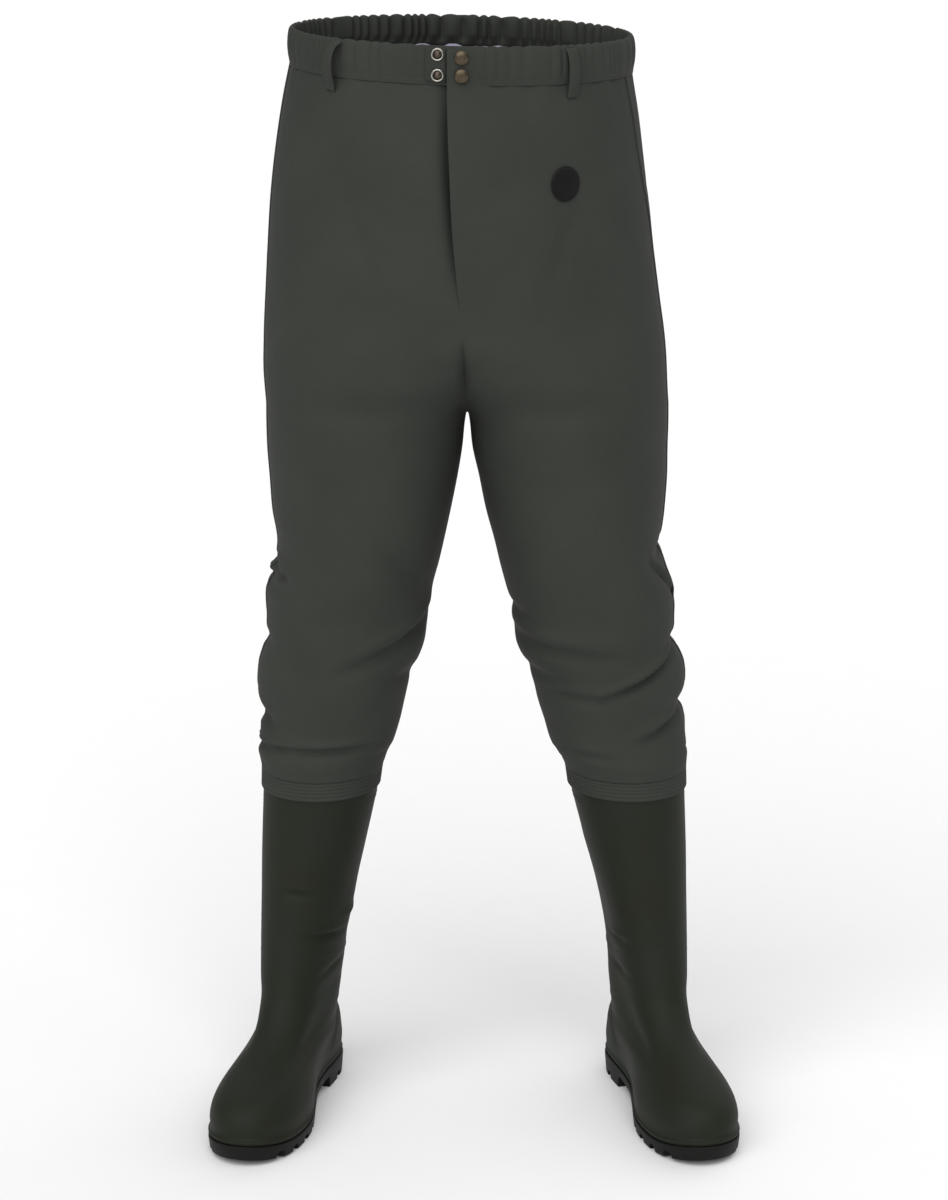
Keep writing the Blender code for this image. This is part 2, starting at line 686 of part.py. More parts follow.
def build_outsole(name, side):
    """Lugged sole with heel block, arch and toe spring."""
    mesh_data = bmesh.new()
    rings = [
        plate_ring(mesh_data, side, SOLE_PROUD, 0.0),
        plate_ring(mesh_data, side, SOLE_PROUD, -SOLE_EDGE),
        plate_ring(mesh_data, side, SOLE_PROUD - SOLE_TAPER, 0.0, tread=True),
    ]
    join_rings(mesh_data, rings)
    cap_plate(mesh_data, rings[0])
    cap_plate(mesh_data, rings[-1])
    made = add_object(name, mesh_data, SOLE_RUBBER, smooth=False)
    grooves = made.modifiers.new("tread", "BOOLEAN")
    grooves.operation = "DIFFERENCE"
    grooves.solver = "EXACT"
    grooves.object = sole_cutter(name + "_cutter", side)


def build_insole(name, side):
    """Thin liner on the sole."""
    mesh_data = bmesh.new()
    rings = []
    for rise in (GAP, GAP + INSOLE_THICKNESS):
        rings.append(plate_ring(mesh_data, side, -INSOLE_INSET, rise))
    join_rings(mesh_data, rings)
    cap_plate(mesh_data, rings[0])
    cap_plate(mesh_data, rings[-1])
    add_object(name, mesh_data, INSOLE_FOAM)


def main():
    for old in list(bpy.data.objects):
        bpy.data.objects.remove(old, do_unlink=True)
    build_trousers()
    build_waistband()
    build_fly_flap()
    build_snaps()
    build_badge()
    for place, degrees in LOOP_ANGLES.items():
        build_belt_loop("belt_loop_" + place, math.radians(degrees))
    for word, side in SIDES.items():
        build_side_seam("side_seam_" + word, side)
        build_cuff("leg_cuff_" + word, side)
        build_boot_upper("boot_upper_" + word, side)
        build_outsole("outsole_" + word, side)
        build_insole("insole_" + word, side)


main()
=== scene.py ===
"""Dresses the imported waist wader: coated-cloth trousers on a pair of moulded boots.

Metres, +Z up. The front faces -Y and the wearer's left is +X. Side +1 is the wearer's left.
Angles round a leg or a boot start at the front and pass the outer side, the back and the inner
side. Angles round the waist start at the front and grow towards the wearer's left.
"""
import math
from collections import namedtuple

import bmesh
import bpy
import numpy as np
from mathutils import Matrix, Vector


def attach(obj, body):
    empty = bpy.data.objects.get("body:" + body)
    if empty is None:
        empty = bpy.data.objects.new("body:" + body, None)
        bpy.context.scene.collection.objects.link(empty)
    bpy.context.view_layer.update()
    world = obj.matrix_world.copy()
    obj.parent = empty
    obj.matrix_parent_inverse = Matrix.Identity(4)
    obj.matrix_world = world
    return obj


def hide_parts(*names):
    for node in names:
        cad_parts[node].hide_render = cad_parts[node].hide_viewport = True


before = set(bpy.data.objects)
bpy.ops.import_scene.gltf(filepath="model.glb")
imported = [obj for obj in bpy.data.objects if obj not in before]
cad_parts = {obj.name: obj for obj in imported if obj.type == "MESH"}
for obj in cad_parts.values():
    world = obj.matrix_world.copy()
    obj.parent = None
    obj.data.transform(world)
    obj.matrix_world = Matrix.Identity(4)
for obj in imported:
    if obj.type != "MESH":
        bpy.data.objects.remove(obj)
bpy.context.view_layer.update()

bl_info = {
    "name": "Waist wader",
    "version": (1, 0, 0),
    "blender": (4, 5, 0),
    "location": "View3D > Sidebar > Wader",
    "description": "Builds the cloth, boots and trim of a waist wader round its packed solids",
    "category": "Object",
}

SIDES = {"left": 1, "right": -1}
UP = np.array((0.0, 0.0, 1.0))

# Resolution of the visible surfaces
LEG_COLUMNS = 132
CROTCH_COLUMNS = 11
PANEL_COLUMNS = LEG_COLUMNS - CROTCH_COLUMNS
FRONT_SEAM = -75.0
TORSO_ROWS = 56
THIGH_ROWS = 26
SHIN_ROWS = 98
KNEE_TOP = 0.635
BAND_COLUMNS = 900
BOOT_COLUMNS = 144
BOOT_STEPS = 14
SEAM_WELD = 0.00005
FRONT_LOW = 0.86
FRONT_ROWS = 90

# Waist
WAIST_Z = 1.138
WAIST_SLOPE = 0.027
WAIST_ROLL = -0.024
WAIST_TILT_FROM = 1.06
SHELL_TUCK = 0.004
BAND_HEIGHT = 0.036
PLEATS = 80
PLEAT_ROUND = 0.75
PLEAT_MEAN = 0.62
PLEAT_WANDER = ((7, 1.6, 0.4), (16, 1.1, 2.0), (29, 0.35, 1.1))
PLEAT_EASE = (5, 0.14, 1.0)
PUCKERS = ((27, 1.0, 0.7), (38, 0.9, 2.1))
PUCKER_DROP = 0.026
PUCKER_SHARE = 0.22
GATHER_FRONT = 0.6
GATHER_CALM = 0.14
GATHER_CALM_AT = 0.06
BAND_BACK_DROP = 0.06
BAND_LIFT = 0.0004
PLEAT_SWAY = 0.005
RIM_RIPPLE = 0.95
STITCH_HEIGHT = 0.0024
STITCH_OUT = 0.0016
STITCH_RADIUS = 0.00035
STITCH_GATHER = 0.25
STITCH_PITCH = 1.4
STITCH_POINTS = 5
WAIST_MEAN = 0.9
THREAD_SIDES = 6

# Boots
HEEL_X = 0.1775
HEEL_Y = 0.1014
TOE_OUT = math.radians(14.5)
TOE_BEND = 0.002
TOE_BEND_FROM = 0.12
TOE_BEND_OVER = 0.18
TOE_ROUND = 4.0
ARCH_PINCH = 0.006
ARCH_STATION = 0.42
ARCH_REACH = 0.16
WIDEN_FROM = 0.25
WIDEN_OVER = 0.45

# Soles
SOLE_COLUMNS = 120
SOLE_PROUD = 0.002
SOLE_EDGE = 0.004
SOLE_TAPER = 0.0015
SOLE_BEVEL = 0.0008
TOE_SPRING = 0.008
TOE_SPRING_FROM = 0.225
SOLE_LENGTH = 0.301
GROOVE_WIDTH = 0.011
GROOVE_DEPTH = 0.0078
GROOVE_INNER = 0.019
HEEL_GROOVES = (0.019, 0.045)
FOREFOOT_GROOVES = (0.160, 0.189, 0.218, 0.246, 0.272)
TREAD_SHARP = math.radians(35.0)
INSOLE_INSET = 0.0042
INSOLE_LIFT = 0.0004
INSOLE_THICKNESS = 0.0035
INSOLE_EDGE = 0.0028
INSOLE_BEVEL = 0.001

# Cuffs
CUFF_BOTTOM = 0.3535
CUFF_TOP = 0.374
CUFF_WALL = 0.0018
CUFF_PROUD = 0.0007
CUFF_LINES = (0.3575, 0.3620, 0.3660, 0.3700)
CUFF_LINE_WIDTH = 0.0008
CUFF_EDGE = 0.0015
CUFF_CLEAR = 0.0002
CUFF_ROWS = 64
CUFF_INNER_STEP = 9
HEM_Z = 0.3744
HEM_BLEND_FROM = 0.398

# Fly, press studs, loops and badge
FLAP_BLEND = 0.085
FLAP_BAND_BLEND = 0.038
FLAP_TOP_HEIGHT = 0.0345
FLAP_SINK = 0.0007
FLAP_FOOT = 0.050
FLAP_THICKNESS = 0.0014
FLAP_CURL = 2.2
FLAP_CROWD = 1.3
FLAP_TOP_LIFT = 0.25
FLAP_BAND_LIFT = 0.08
FLAP_UNDER_BAND = 0.0005
FLAP_BAND_PROUD = 0.0010
FLAP_PROUD = 0.0012
FLAP_ROWS = 70
FLAP_COLUMNS = 26
PATCH_X = (-0.0480, -0.0275)
PATCH_HEIGHTS = (0.0005, 0.0352)
PATCH_LIFT = 0.0004
PATCH_THICKNESS = 0.0006
PATCH_SHADE = 0.92
PATCH_ROWS = 14
PATCH_COLUMNS = 12
STUD_X = -0.0358
CAP_X = -0.0125
STUD_HEIGHTS = {"upper": 0.028, "lower": 0.0075}
CAP_HEIGHTS = {"upper": 0.0255, "lower": 0.0075}
STUD_LIFT = 0.0014
CAP_LIFT = 0.0042
LOOP_HALF_WIDTH = 0.0062
LOOP_THICKNESS = 0.0016
LOOP_ROUND = 0.0004
LOOP_STEPS = 40
LOOP_TACKS = (2, 4, -5, -3)
TACK_REACH = 0.8
TACK_RADIUS = 0.0004
TACK_POINTS = 9
BADGE_X = 0.092
BADGE_Z = 1.033
BADGE_HALF_WIDTH = 0.0145
BADGE_HALF_HEIGHT = 0.0175
BADGE_COLUMNS = 64

# Stage
FLOOR_REACH = 30.0
SKY_FILL = 0.35
SKY_SEEN = 0.6
CAMERA_PLACE = (0.0, -3.409, 1.50)
CAMERA_DOWN = 15.23
CAMERA_LENS = 99.0
Light = namedtuple("Light", "name source spread power")
LIGHTS = (
    Light("front", (-0.29, -1.0, 0.95), 70.0, 2.3),
    Light("top", (0.5, 0.3, 1.0), 90.0, 0.8),
    Light("back", (0.3, 1.0, 0.5), 80.0, 0.45),
)

# Trouser sections above the crotch, the same rows as the solid's
TorsoRow = namedtuple("TorsoRow", "z lean y half_width front back split")
TORSO = [TorsoRow(*row) for row in (
    (WAIST_Z, -0.013, 0.026, 0.176, 0.138, 0.140, 0.0),
    (1.102, -0.014, 0.026, 0.183, 0.147, 0.149, 0.0),
    (1.055, -0.015, 0.026, 0.190, 0.155, 0.157, 0.0),
    (1.005, -0.015, 0.026, 0.196, 0.160, 0.162, 0.0),
    (0.950, -0.014, 0.026, 0.201, 0.163, 0.165, 0.0),
    (0.895, -0.012, 0.025, 0.206, 0.166, 0.166, 0.06),
    (0.850, -0.010, 0.023, 0.210, 0.183, 0.176, 0.30),
    (0.815, -0.009, 0.021, 0.212, 0.190, 0.180, 0.64),
    (0.785, -0.007, 0.019, 0.211, 0.148, 0.145, 1.0),
)]

# Leg sections below the crotch, the same rows as the solid's
LegRow = namedtuple("LegRow", "z lean out y half_width half_depth turn")
LEGS = [LegRow(*row) for row in (
    (0.785, -0.007, 0.1055, 0.019, 0.1060, 0.135, 0.0),
    (0.766, -0.007, 0.1070, 0.016, 0.1045, 0.130, 0.0),
    (0.740, -0.007, 0.1080, 0.015, 0.1030, 0.125, 0.0),
    (0.708, -0.006, 0.1105, 0.016, 0.0995, 0.1215, 0.0),
    (0.672, -0.006, 0.1130, 0.018, 0.0950, 0.118, 1.0),
    (0.632, -0.005, 0.1160, 0.020, 0.0885, 0.1125, 2.0),
    (0.610, -0.005, 0.1210, 0.021, 0.0885, 0.109, 2.5),
    (0.588, -0.005, 0.1275, 0.021, 0.0892, 0.103, 3.0),
    (0.565, -0.004, 0.1305, 0.022, 0.0880, 0.096, 4.0),
    (0.543, -0.004, 0.1325, 0.0235, 0.0862, 0.093, 5.0),
    (0.520, -0.004, 0.1355, 0.0265, 0.0858, 0.089, 6.0),
    (0.497, -0.003, 0.1440, 0.0295, 0.0852, 0.086, 7.0),
    (0.475, -0.003, 0.1495, 0.0325, 0.0825, 0.083, 8.0),
    (0.452, -0.003, 0.1505, 0.037, 0.0782, 0.080, 9.0),
    (0.428, -0.002, 0.1550, 0.0415, 0.0765, 0.078, 10.0),
    (0.404, -0.002, 0.1598, 0.0428, 0.0742, 0.0775, 12.5),
    (0.388, -0.001, 0.1640, 0.0418, 0.0716, 0.0775, 14.0),
)]

# Folds: a soft trough from one place to another, with a raised lip above it
# (below it where lip is under zero). A depth under zero makes a ridge.
Fold = namedtuple("Fold", "side z_a angle_a z_b angle_b width depth lip")
LEG_FOLDS = [Fold(*row) for row in (
    (-1, 0.622, 112, 0.606, 56, 0.006, 0.008, -0.003),
    (-1, 0.597, 88, 0.592, 36, 0.010, 0.006, 0.002),
    (-1, 0.655, -8, 0.606, -58, 0.018, 0.006, 0.0),
    (-1, 0.552, -82, 0.513, -20, 0.010, 0.010, 0.004),
    (-1, 0.486, -98, 0.494, -58, 0.009, 0.006, 0.0),
    (-1, 0.531, 122, 0.528, 70, 0.008, 0.005, 0.0),
    (-1, 0.432, 118, 0.434, 58, 0.009, 0.0045, 0.0),
    (-1, 0.396, 125, 0.408, 28, 0.0042, 0.0068, 0.003),
    (-1, 0.408, 30, 0.413, -52, 0.0045, 0.0062, 0.003),
    (-1, 0.394, -98, 0.397, -60, 0.006, 0.004, 0.0),
    (-1, 0.447, 76, 0.430, 18, 0.011, 0.003, 0.0),
    (-1, 0.575, 188, 0.556, 106, 0.011, 0.015, 0.003),
    (-1, 0.541, 186, 0.540, 108, 0.008, -0.004, 0.0),
    (-1, 0.526, 176, 0.529, 104, 0.009, 0.005, 0.0),
    (-1, 0.473, 205, 0.470, 118, 0.012, 0.010, 0.002),
    (-1, 0.449, 152, 0.447, 98, 0.005, 0.003, 0.002),
    (-1, 0.597, 95, 0.606, 52, 0.0038, 0.0045, 0.0015),
    (-1, 0.386, -100, 0.385, -66, 0.0032, 0.0022, 0.0),
    (-1, 0.448, 92, 0.428, 40, 0.009, 0.005, 0.003),
    (-1, 0.411, 92, 0.409, 64, 0.007, 0.004, 0.0),
    (-1, 0.387, 60, 0.383, 44, 0.005, 0.004, 0.0),
    (-1, 0.745, 138, 0.742, 218, 0.012, 0.006, 0.0),
    (-1, 0.628, 158, 0.622, 108, 0.015, 0.005, 0.0),
    (-1, 0.572, 250, 0.560, 190, 0.011, 0.009, 0.002),
    (1, 0.640, 100, 0.622, 60, 0.008, 0.005, 0.0),
    (1, 0.622, 56, 0.580, 80, 0.004, 0.006, 0.003),
    (1, 0.566, -98, 0.562, -58, 0.008, 0.005, 0.0),
    (1, 0.535, -82, 0.522, -2, 0.009, 0.008, 0.003),
    (1, 0.494, -95, 0.494, -52, 0.008, 0.006, 0.0),
    (1, 0.474, -58, 0.472, -12, 0.006, 0.005, 0.002),
    (1, 0.474, -14, 0.517, 66, 0.0040, 0.009, 0.005),
    (1, 0.526, 64, 0.527, 112, 0.008, 0.006, 0.0),
    (1, 0.454, 60, 0.452, 112, 0.008, 0.006, 0.0),
    (1, 0.444, 58, 0.421, 12, 0.0055, 0.008, 0.004),
    (1, 0.405, -70, 0.402, -20, 0.005, 0.003, 0.0015),
    (1, 0.396, -100, 0.394, -62, 0.0032, 0.0025, 0.0),
    (1, 0.386, -100, 0.384, -66, 0.0032, 0.0022, 0.0),
    (1, 0.396, 66, 0.398, 104, 0.0032, 0.0022, 0.0),
    (1, 0.387, 70, 0.388, 104, 0.0032, 0.0022, 0.0),
    (1, 0.574, 190, 0.558, 108, 0.011, 0.014, 0.003),
    (1, 0.540, 186, 0.540, 112, 0.008, -0.0035, 0.0),
    (1, 0.524, 176, 0.527, 108, 0.009, 0.005, 0.0),
    (1, 0.468, 205, 0.468, 120, 0.012, 0.010, 0.002),
    (1, 0.430, 160, 0.436, 100, 0.008, 0.005, 0.002),
    (1, 0.742, 140, 0.745, 220, 0.012, 0.006, 0.0),
    (1, 0.626, 158, 0.620, 108, 0.015, 0.005, 0.0),
    (1, 0.570, 250, 0.560, 190, 0.011, 0.008, 0.002),
)]
LEG_METRES_PER_DEGREE = 0.0015
FOLD_RUNOUT = 2.0
FOLD_END_DEPTH = 0.45
FOLD_LIP_AT = 1.7

# Folds of the seat and hips, by angle round the waist
TORSO_FOLDS = [Fold(*row) for row in (
    (0, 0.885, 0.0, 0.845, 0.0, 0.020, -0.006, 0.0),
    (0, 0.874, 0.0, 0.812, 0.0, 0.004, 0.007, 0.0),
    (0, 1.030, -38, 0.905, -21, 0.010, 0.003, 0.0),
    (0, 1.030, 40, 0.900, 23, 0.010, 0.002, 0.0),
    (0, 1.120, 180, 0.800, 180, 0.0035, 0.0015, 0.0),
    (0, 0.900, 180, 0.790, 180, 0.016, 0.006, 0.0),
)]
TORSO_METRES_PER_DEGREE = 0.0033
FLY_TROUGH = Fold(0, 1.128, -3.6, 0.955, 0.2, 0.0080, 0.014, 0.0)
CREASE_TOP = 0.885
CROTCH_FULL = 0.38
CROTCH_FULL_AT = 0.812
CROTCH_FULL_REACH = 0.055
SEAM_REACH = 0.0005

# Boot rings from the sole seat to the collar, the same rows as the solid's
BootRow = namedtuple("BootRow", "front front_z back back_z rear_half fore_half lean square seat")
BOOT = [BootRow(*row) for row in (
    (0.2990, 0.0239, 0.0030, 0.0254, 0.0370, 0.0520, 0.0, 12.0, 1.0),
    (0.3015, 0.0285, 0.0010, 0.0300, 0.0385, 0.0540, 0.0, 12.0, 1.0),
    (0.2985, 0.0320, 0.0025, 0.0340, 0.0375, 0.0522, 0.0, 12.0, 1.0),
    (0.2990, 0.0445, 0.0005, 0.0475, 0.0390, 0.0520, 0.0, 10.0, 0.6),
    (0.2940, 0.0560, 0.0005, 0.0605, 0.0395, 0.0480, 0.0, 8.0, 0.3),
    (0.2810, 0.0655, 0.0020, 0.0740, 0.0395, 0.0405, 0.001, 6.0, 0.0),
    (0.2560, 0.0730, 0.0045, 0.0870, 0.0395, 0.0335, 0.001, 4.0, 0.0),
    (0.2220, 0.0815, 0.0070, 0.0990, 0.0400, 0.0300, 0.002, 3.2, 0.0),
    (0.1890, 0.0945, 0.0080, 0.1120, 0.0405, 0.0310, 0.003, 2.8, 0.0),
    (0.1630, 0.1150, 0.0070, 0.1290, 0.0415, 0.0345, 0.0035, 2.5, 0.0),
    (0.1460, 0.1440, 0.0040, 0.1530, 0.0425, 0.0395, 0.0038, 2.3, 0.0),
    (0.1365, 0.1820, -0.0015, 0.1860, 0.0450, 0.0445, 0.0057, 2.1, 0.0),
    (0.1310, 0.2320, -0.0085, 0.2320, 0.0500, 0.0500, 0.0099, 2.0, 0.0),
    (0.1270, 0.2860, -0.0130, 0.2860, 0.0562, 0.0562, 0.0158, 2.0, 0.0),
    (0.1250, 0.3480, -0.0145, 0.3480, 0.0621, 0.0621, 0.0235, 2.0, 0.0),
    (0.1250, 0.3810, -0.0145, 0.3810, 0.0640, 0.0640, 0.0264, 2.0, 0.0),
)]
BOOT_FOLDS = [Fold(*row) for row in (
    (-1, 0.249, 14, 0.244, -24, 0.0042, 0.0034, 0.0015),
    (-1, 0.1965, -30, 0.1905, -80, 0.0038, 0.0050, 0.0022),
    (-1, 0.150, -62, 0.155, -96, 0.0045, 0.0030, 0.0),
    (1, 0.185, -85, 0.187, -50, 0.0038, 0.0045, 0.0020),
    (1, 0.148, -62, 0.150, -96, 0.0045, 0.0030, 0.0),
    (1, 0.290, -96, 0.130, -96, 0.028, 0.0065, 0.0),
    (-1, 0.218, -90, 0.204, -90, 0.012, -0.0040, 0.0),
    (-1, 0.180, -92, 0.130, -92, 0.028, -0.0030, 0.0),
    (0, 0.128, -55, 0.128, 55, 0.012, 0.0020, 0.0),
)]
BOOT_METRES_PER_DEGREE = 0.0008

# Raised mould lines on both flanks of a boot: distance along the foot, height
BOOT_LINES = {
    "shaft_panel": ((-0.008, 0.222), (0.004, 0.195), (0.018, 0.172), (0.042, 0.163), (0.083, 0.166),
                    (0.122, 0.175)),
    "ankle_panel": ((-0.002, 0.178), (0.007, 0.158), (0.013, 0.128), (0.029, 0.109), (0.054, 0.102),
                    (0.088, 0.105)),
    "counter": ((0.006, 0.096), (0.020, 0.0885), (0.048, 0.0806), (0.064, 0.068), (0.0725, 0.052),
                (0.077, 0.041)),
    "counter_inner": ((0.006, 0.089), (0.018, 0.082), (0.044, 0.074), (0.058, 0.062), (0.0655, 0.049),
                      (0.0695, 0.041)),
    "pull_upper": ((0.030, 0.3434), (0.060, 0.3430), (0.078, 0.3434)),
    "pull_lower": ((0.030, 0.3390), (0.060, 0.3386), (0.078, 0.3390)),
}
LINE_POINTS = 60
LINE_TRIALS = 7
LINE_ROUNDS = 14
LINE_END = 0.03
LINE_NEAR = 0.01

# Half of a mould line's section, in shares of its half width and height
BEAD_SLOPE = ((1.6, -0.40), (1.0, 0.0), (0.65, 0.32), (0.32, 0.80))
BEAD_ROOT = -1.5
BEAD_FADE = 0.7

# Sole's upper face: share of the foot's length, height
SEAT = ((0.0, 0.0250), (0.30, 0.0238), (0.48, 0.0190), (0.70, 0.0150), (0.85, 0.0168), (1.0, 0.0235))

# Arch hollow in side view: distance along the foot, height
ARCH_HOLLOW = ((0.074, -0.002), (0.077, 0.0125), (0.081, 0.0150), (0.122, 0.0122), (0.127, 0.0102),
               (0.139, -0.002))

# Rounded top of a tread groove: share of its half width, drop from its top
GROOVE_CROWN = ((-1.0, 0.0030), (-0.6, 0.0006), (0.0, 0.0), (0.6, 0.0006), (1.0, 0.0030))

# Rims of the soles and insoles: growth past the boot's outline, rise, whether it rises from the tread
SOLE_RIMS = (
    (SOLE_PROUD - SOLE_BEVEL, 0.0, False),
    (SOLE_PROUD, -SOLE_BEVEL, False),
    (SOLE_PROUD, -SOLE_EDGE, False),
    (SOLE_PROUD - SOLE_TAPER, SOLE_BEVEL, True),
    (SOLE_PROUD - SOLE_TAPER - SOLE_BEVEL, 0.0, True),
)
INSOLE_RIMS = (
    (-INSOLE_INSET, INSOLE_LIFT, False),
    (-INSOLE_INSET, INSOLE_LIFT + INSOLE_EDGE, False),
    (-INSOLE_INSET - INSOLE_BEVEL, INSOLE_LIFT + INSOLE_THICKNESS, False),
)

# Band section: outward offset, height, share of the gathers
BandRow = namedtuple("BandRow", "offset height gather")
BAND = [BandRow(*row) for row in (
    (0.0013, -0.0030, 0.10),
    (0.0016, 0.0006, 0.15),
    (0.0020, 0.0040, 0.40),
    (0.0026, 0.0090, 0.80),
    (0.0030, 0.0180, 1.00),
    (0.0026, 0.0260, 0.95),
    (0.0014, 0.0325, 0.80),
    (0.0000, 0.0350, 0.70),
    (-0.0018, 0.0360, 0.60),
    (-0.0036, 0.0345, -0.50),
    (-0.0046, 0.0270, -2.30),
    (-0.0048, 0.0160, -2.50),
    (-0.0040, 0.0110, -1.80),
    (-0.0026, 0.0046, 0.10),
)]
BAND_OUTER_ROWS = 8
BAND_ROWS = 4 * len(BAND)

# Belt loop side view: height above the band's lower edge, clearance from the waist oval
LOOP_PATH = ((-0.0150, 0.0040), (-0.0090, 0.0068), (0.0040, 0.0126), (0.0180, 0.0140),
             (0.0280, 0.0100), (0.0328, 0.0022))
Loop = namedtuple("Loop", "place degrees lean bow")
LOOPS = (
    Loop("front_left", 38.5, 0.002, 0.55),
    Loop("front_right", -47.0, -0.009, 1.0),
    Loop("back", 180.0, 0.0, 1.0),
)

# Fly flap rows: height, free edge position, share of the full lift
FlapRow = namedtuple("FlapRow", "z edge lift")
FLAP = [FlapRow(*row) for row in (
    (1.120, -0.0270, 0.20),
    (1.085, -0.0260, 0.70),
    (1.045, -0.0245, 1.0),
    (1.000, -0.0225, 0.85),
    (0.955, -0.0190, 0.50),
    (0.925, -0.0160, 0.22),
    (0.900, -0.0130, 0.0),
)]

# Side tapes: height, how far each wanders forward of its leg's side line
TAPE_WANDER = {
    -1: ((0.374, -0.004), (0.385, -0.008), (0.415, -0.007), (0.443, -0.001), (0.457, -0.005),
         (0.485, -0.007), (0.530, 0.002), (0.600, 0.0), (1.20, 0.0)),
    1: ((0.374, -0.003), (0.400, -0.006), (0.440, -0.002), (0.480, -0.004), (0.530, 0.003),
        (0.600, 0.004), (0.700, 0.0), (0.930, 0.002), (0.985, 0.014), (1.020, 0.027),
        (1.060, 0.034), (1.20, 0.038)),
}
TAPE_EVENING = 6
TAPE_BELOW_BAND = 0.001

# Side tape section: front or back edge, inset from that edge, share of the tape's height
TAPE_PROFILE = ((-1, 0.0, 0.4), (-1, 0.0006, 1.0), (-1, 0.0022, 0.8), (1, 0.0040, 0.7), (1, 0.0014, 0.7),
                (1, 0.0, 0.1))
TAPE_SINK = 0.0006

# Press stud profiles: radius, height
STUD_PROFILE = ((0.0, 0.0002), (0.0062, 0.0), (0.0066, 0.0006), (0.0065, 0.0013), (0.0059, 0.0019),
                (0.0051, 0.0019), (0.0045, 0.0014), (0.0042, 0.0006), (0.0, 0.0005))
POST_PROFILE = ((0.0, 0.0002), (0.0023, 0.0002), (0.0022, 0.0016), (0.0025, 0.0024), (0.0020, 0.0031),
                (0.0010, 0.0034), (0.0, 0.0034))
# Disc in the hollow of each stud, whose dark tarnished steel paints the hollow's shade
RECESS_PROFILE = ((0.0, 0.0001), (0.0044, 0.0001), (0.0044, 0.0008), (0.0, 0.0008))
CAP_PROFILE = ((0.0, 0.0), (0.0069, 0.0), (0.0072, 0.0005), (0.0071, 0.0010), (0.0064, 0.0014),
               (0.0052, 0.0022), (0.0036, 0.0027), (0.0018, 0.0028), (0.0, 0.0028))
SNAP_SEGMENTS = 40
POST_SEGMENTS = 24

# Badge rings: share of its size, height off the cloth
BADGE_RINGS = ((1.0, 0.0002), (1.0, 0.0016), (0.985, 0.0021), (0.94, 0.0021), (0.91, 0.0016),
               (0.80, 0.0016), (0.5, 0.0017), (0.2, 0.0017))

# Places of the darker and the lighter tone on a material's colour ramp
TINT_RANGE = (0.25, 0.75)


def linear(hex_colour):
    """Linear RGB of an sRGB hex colour."""
    channels = [int(hex_colour[start:start + 2], 16) / 255.0 for start in (0, 2, 4)]
    return tuple(c / 12.92 if c <= 0.04045 else ((c + 0.055) / 1.055) ** 2.4 for c in channels)


def mix(a, b, share):
    """Value between a and b."""
    return a + (b - a) * share


def ease(share):
    """Smooth step from 0 to 1."""
    share = np.clip(share, 0.0, 1.0)
    return share * share * (3.0 - 2.0 * share)


def bell(distance):
    """Soft bump of height 1 round 0."""
    return np.exp(-distance * distance)


def unit(vectors):
    """Vectors of length 1."""
    return vectors / np.linalg.norm(vectors, axis=-1, keepdims=True)


def read_smooth(keys, values, at):
    """Smooth curve through the rows of a table."""
    order = np.argsort(keys)
    keys = np.asarray(keys, dtype=float)[order]
    values = np.asarray(values, dtype=float)[order]
    at = np.clip(np.asarray(at, dtype=float), keys[0], keys[-1])
    slopes = np.gradient(values, keys, axis=0)
    low = np.clip(np.searchsorted(keys, at) - 1, 0, len(keys) - 2)
    span = keys[low + 1] - keys[low]
    share = (at - keys[low]) / span
    if values.ndim > 1:
        span = span[..., None]
        share = share[..., None]
    rest = 1.0 - share
    before = values[low] * (1.0 + 2.0 * share) * rest ** 2
    after = values[low + 1] * (3.0 - 2.0 * share) * share ** 2
    return before + after + span * share * rest * (slopes[low] * rest - slopes[low + 1] * share)


def resampled(table, count):
    """Rows at even steps along a smooth curve through a table."""
    return read_smooth(range(len(table)), table, np.linspace(0, len(table) - 1, count))


def full_turn(count):
    """Angles once round, in even steps."""
    return 2.0 * math.pi * np.arange(count) / count


def rows_at(table, keys, at):
    """Row of a table at each key, its columns as upright arrays."""
    return type(table[0])(*read_smooth(keys, table, at).T[..., None])


def fold_push(folds, side, z, angle, metres_per_degree):
    """Outward push of the folds at heights z and angles in degrees."""
    push = np.zeros(np.broadcast(z, angle).shape)
    for fold in folds:
        if fold.side not in (0, side):
            continue
        middle = (fold.angle_a + fold.angle_b) / 2.0
        turn = (angle - middle + 180.0) % 360.0 - 180.0 + middle - fold.angle_a
        rise, run = z - fold.z_a, turn * metres_per_degree
        span_z = fold.z_b - fold.z_a
        span_run = (fold.angle_b - fold.angle_a) * metres_per_degree
        length = math.hypot(span_z, span_run)
        share = (rise * span_z + run * span_run) / length ** 2
        within = np.clip(share, 0.0, 1.0)
        beyond = (share - within) * length
        above = (rise * span_run - run * span_z) / length
        if span_run < 0.0:
            above = -above
        fade = bell(beyond / (FOLD_RUNOUT * fold.width))
        fade = fade * mix(FOLD_END_DEPTH, 1.0, np.sin(math.pi * within))
        push = push - fold.depth * fade * bell(above / fold.width)
        lip_at = math.copysign(FOLD_LIP_AT * fold.width, fold.lip)
        push = push + abs(fold.lip) * fade * bell((above - lip_at) / fold.width)
    return push


def backness(angle):
    """Share from 0 at the front of the waist to 1 at its back."""
    return (1.0 - np.cos(angle)) / 2.0


def calm_fly(angle):
    """Share of the gathers: fuller towards the back, none beside the fly."""
    calm = ease((np.abs(angle + GATHER_CALM_AT) - 0.5 * GATHER_CALM) / GATHER_CALM)
    return mix(GATHER_FRONT, 1.0, backness(angle)) * calm


def waves(table, angle):
    """Sum of waves round the waist, from rows of count, size and phase."""
    return sum(size * np.sin(count * angle + phase) for count, size, phase in table)


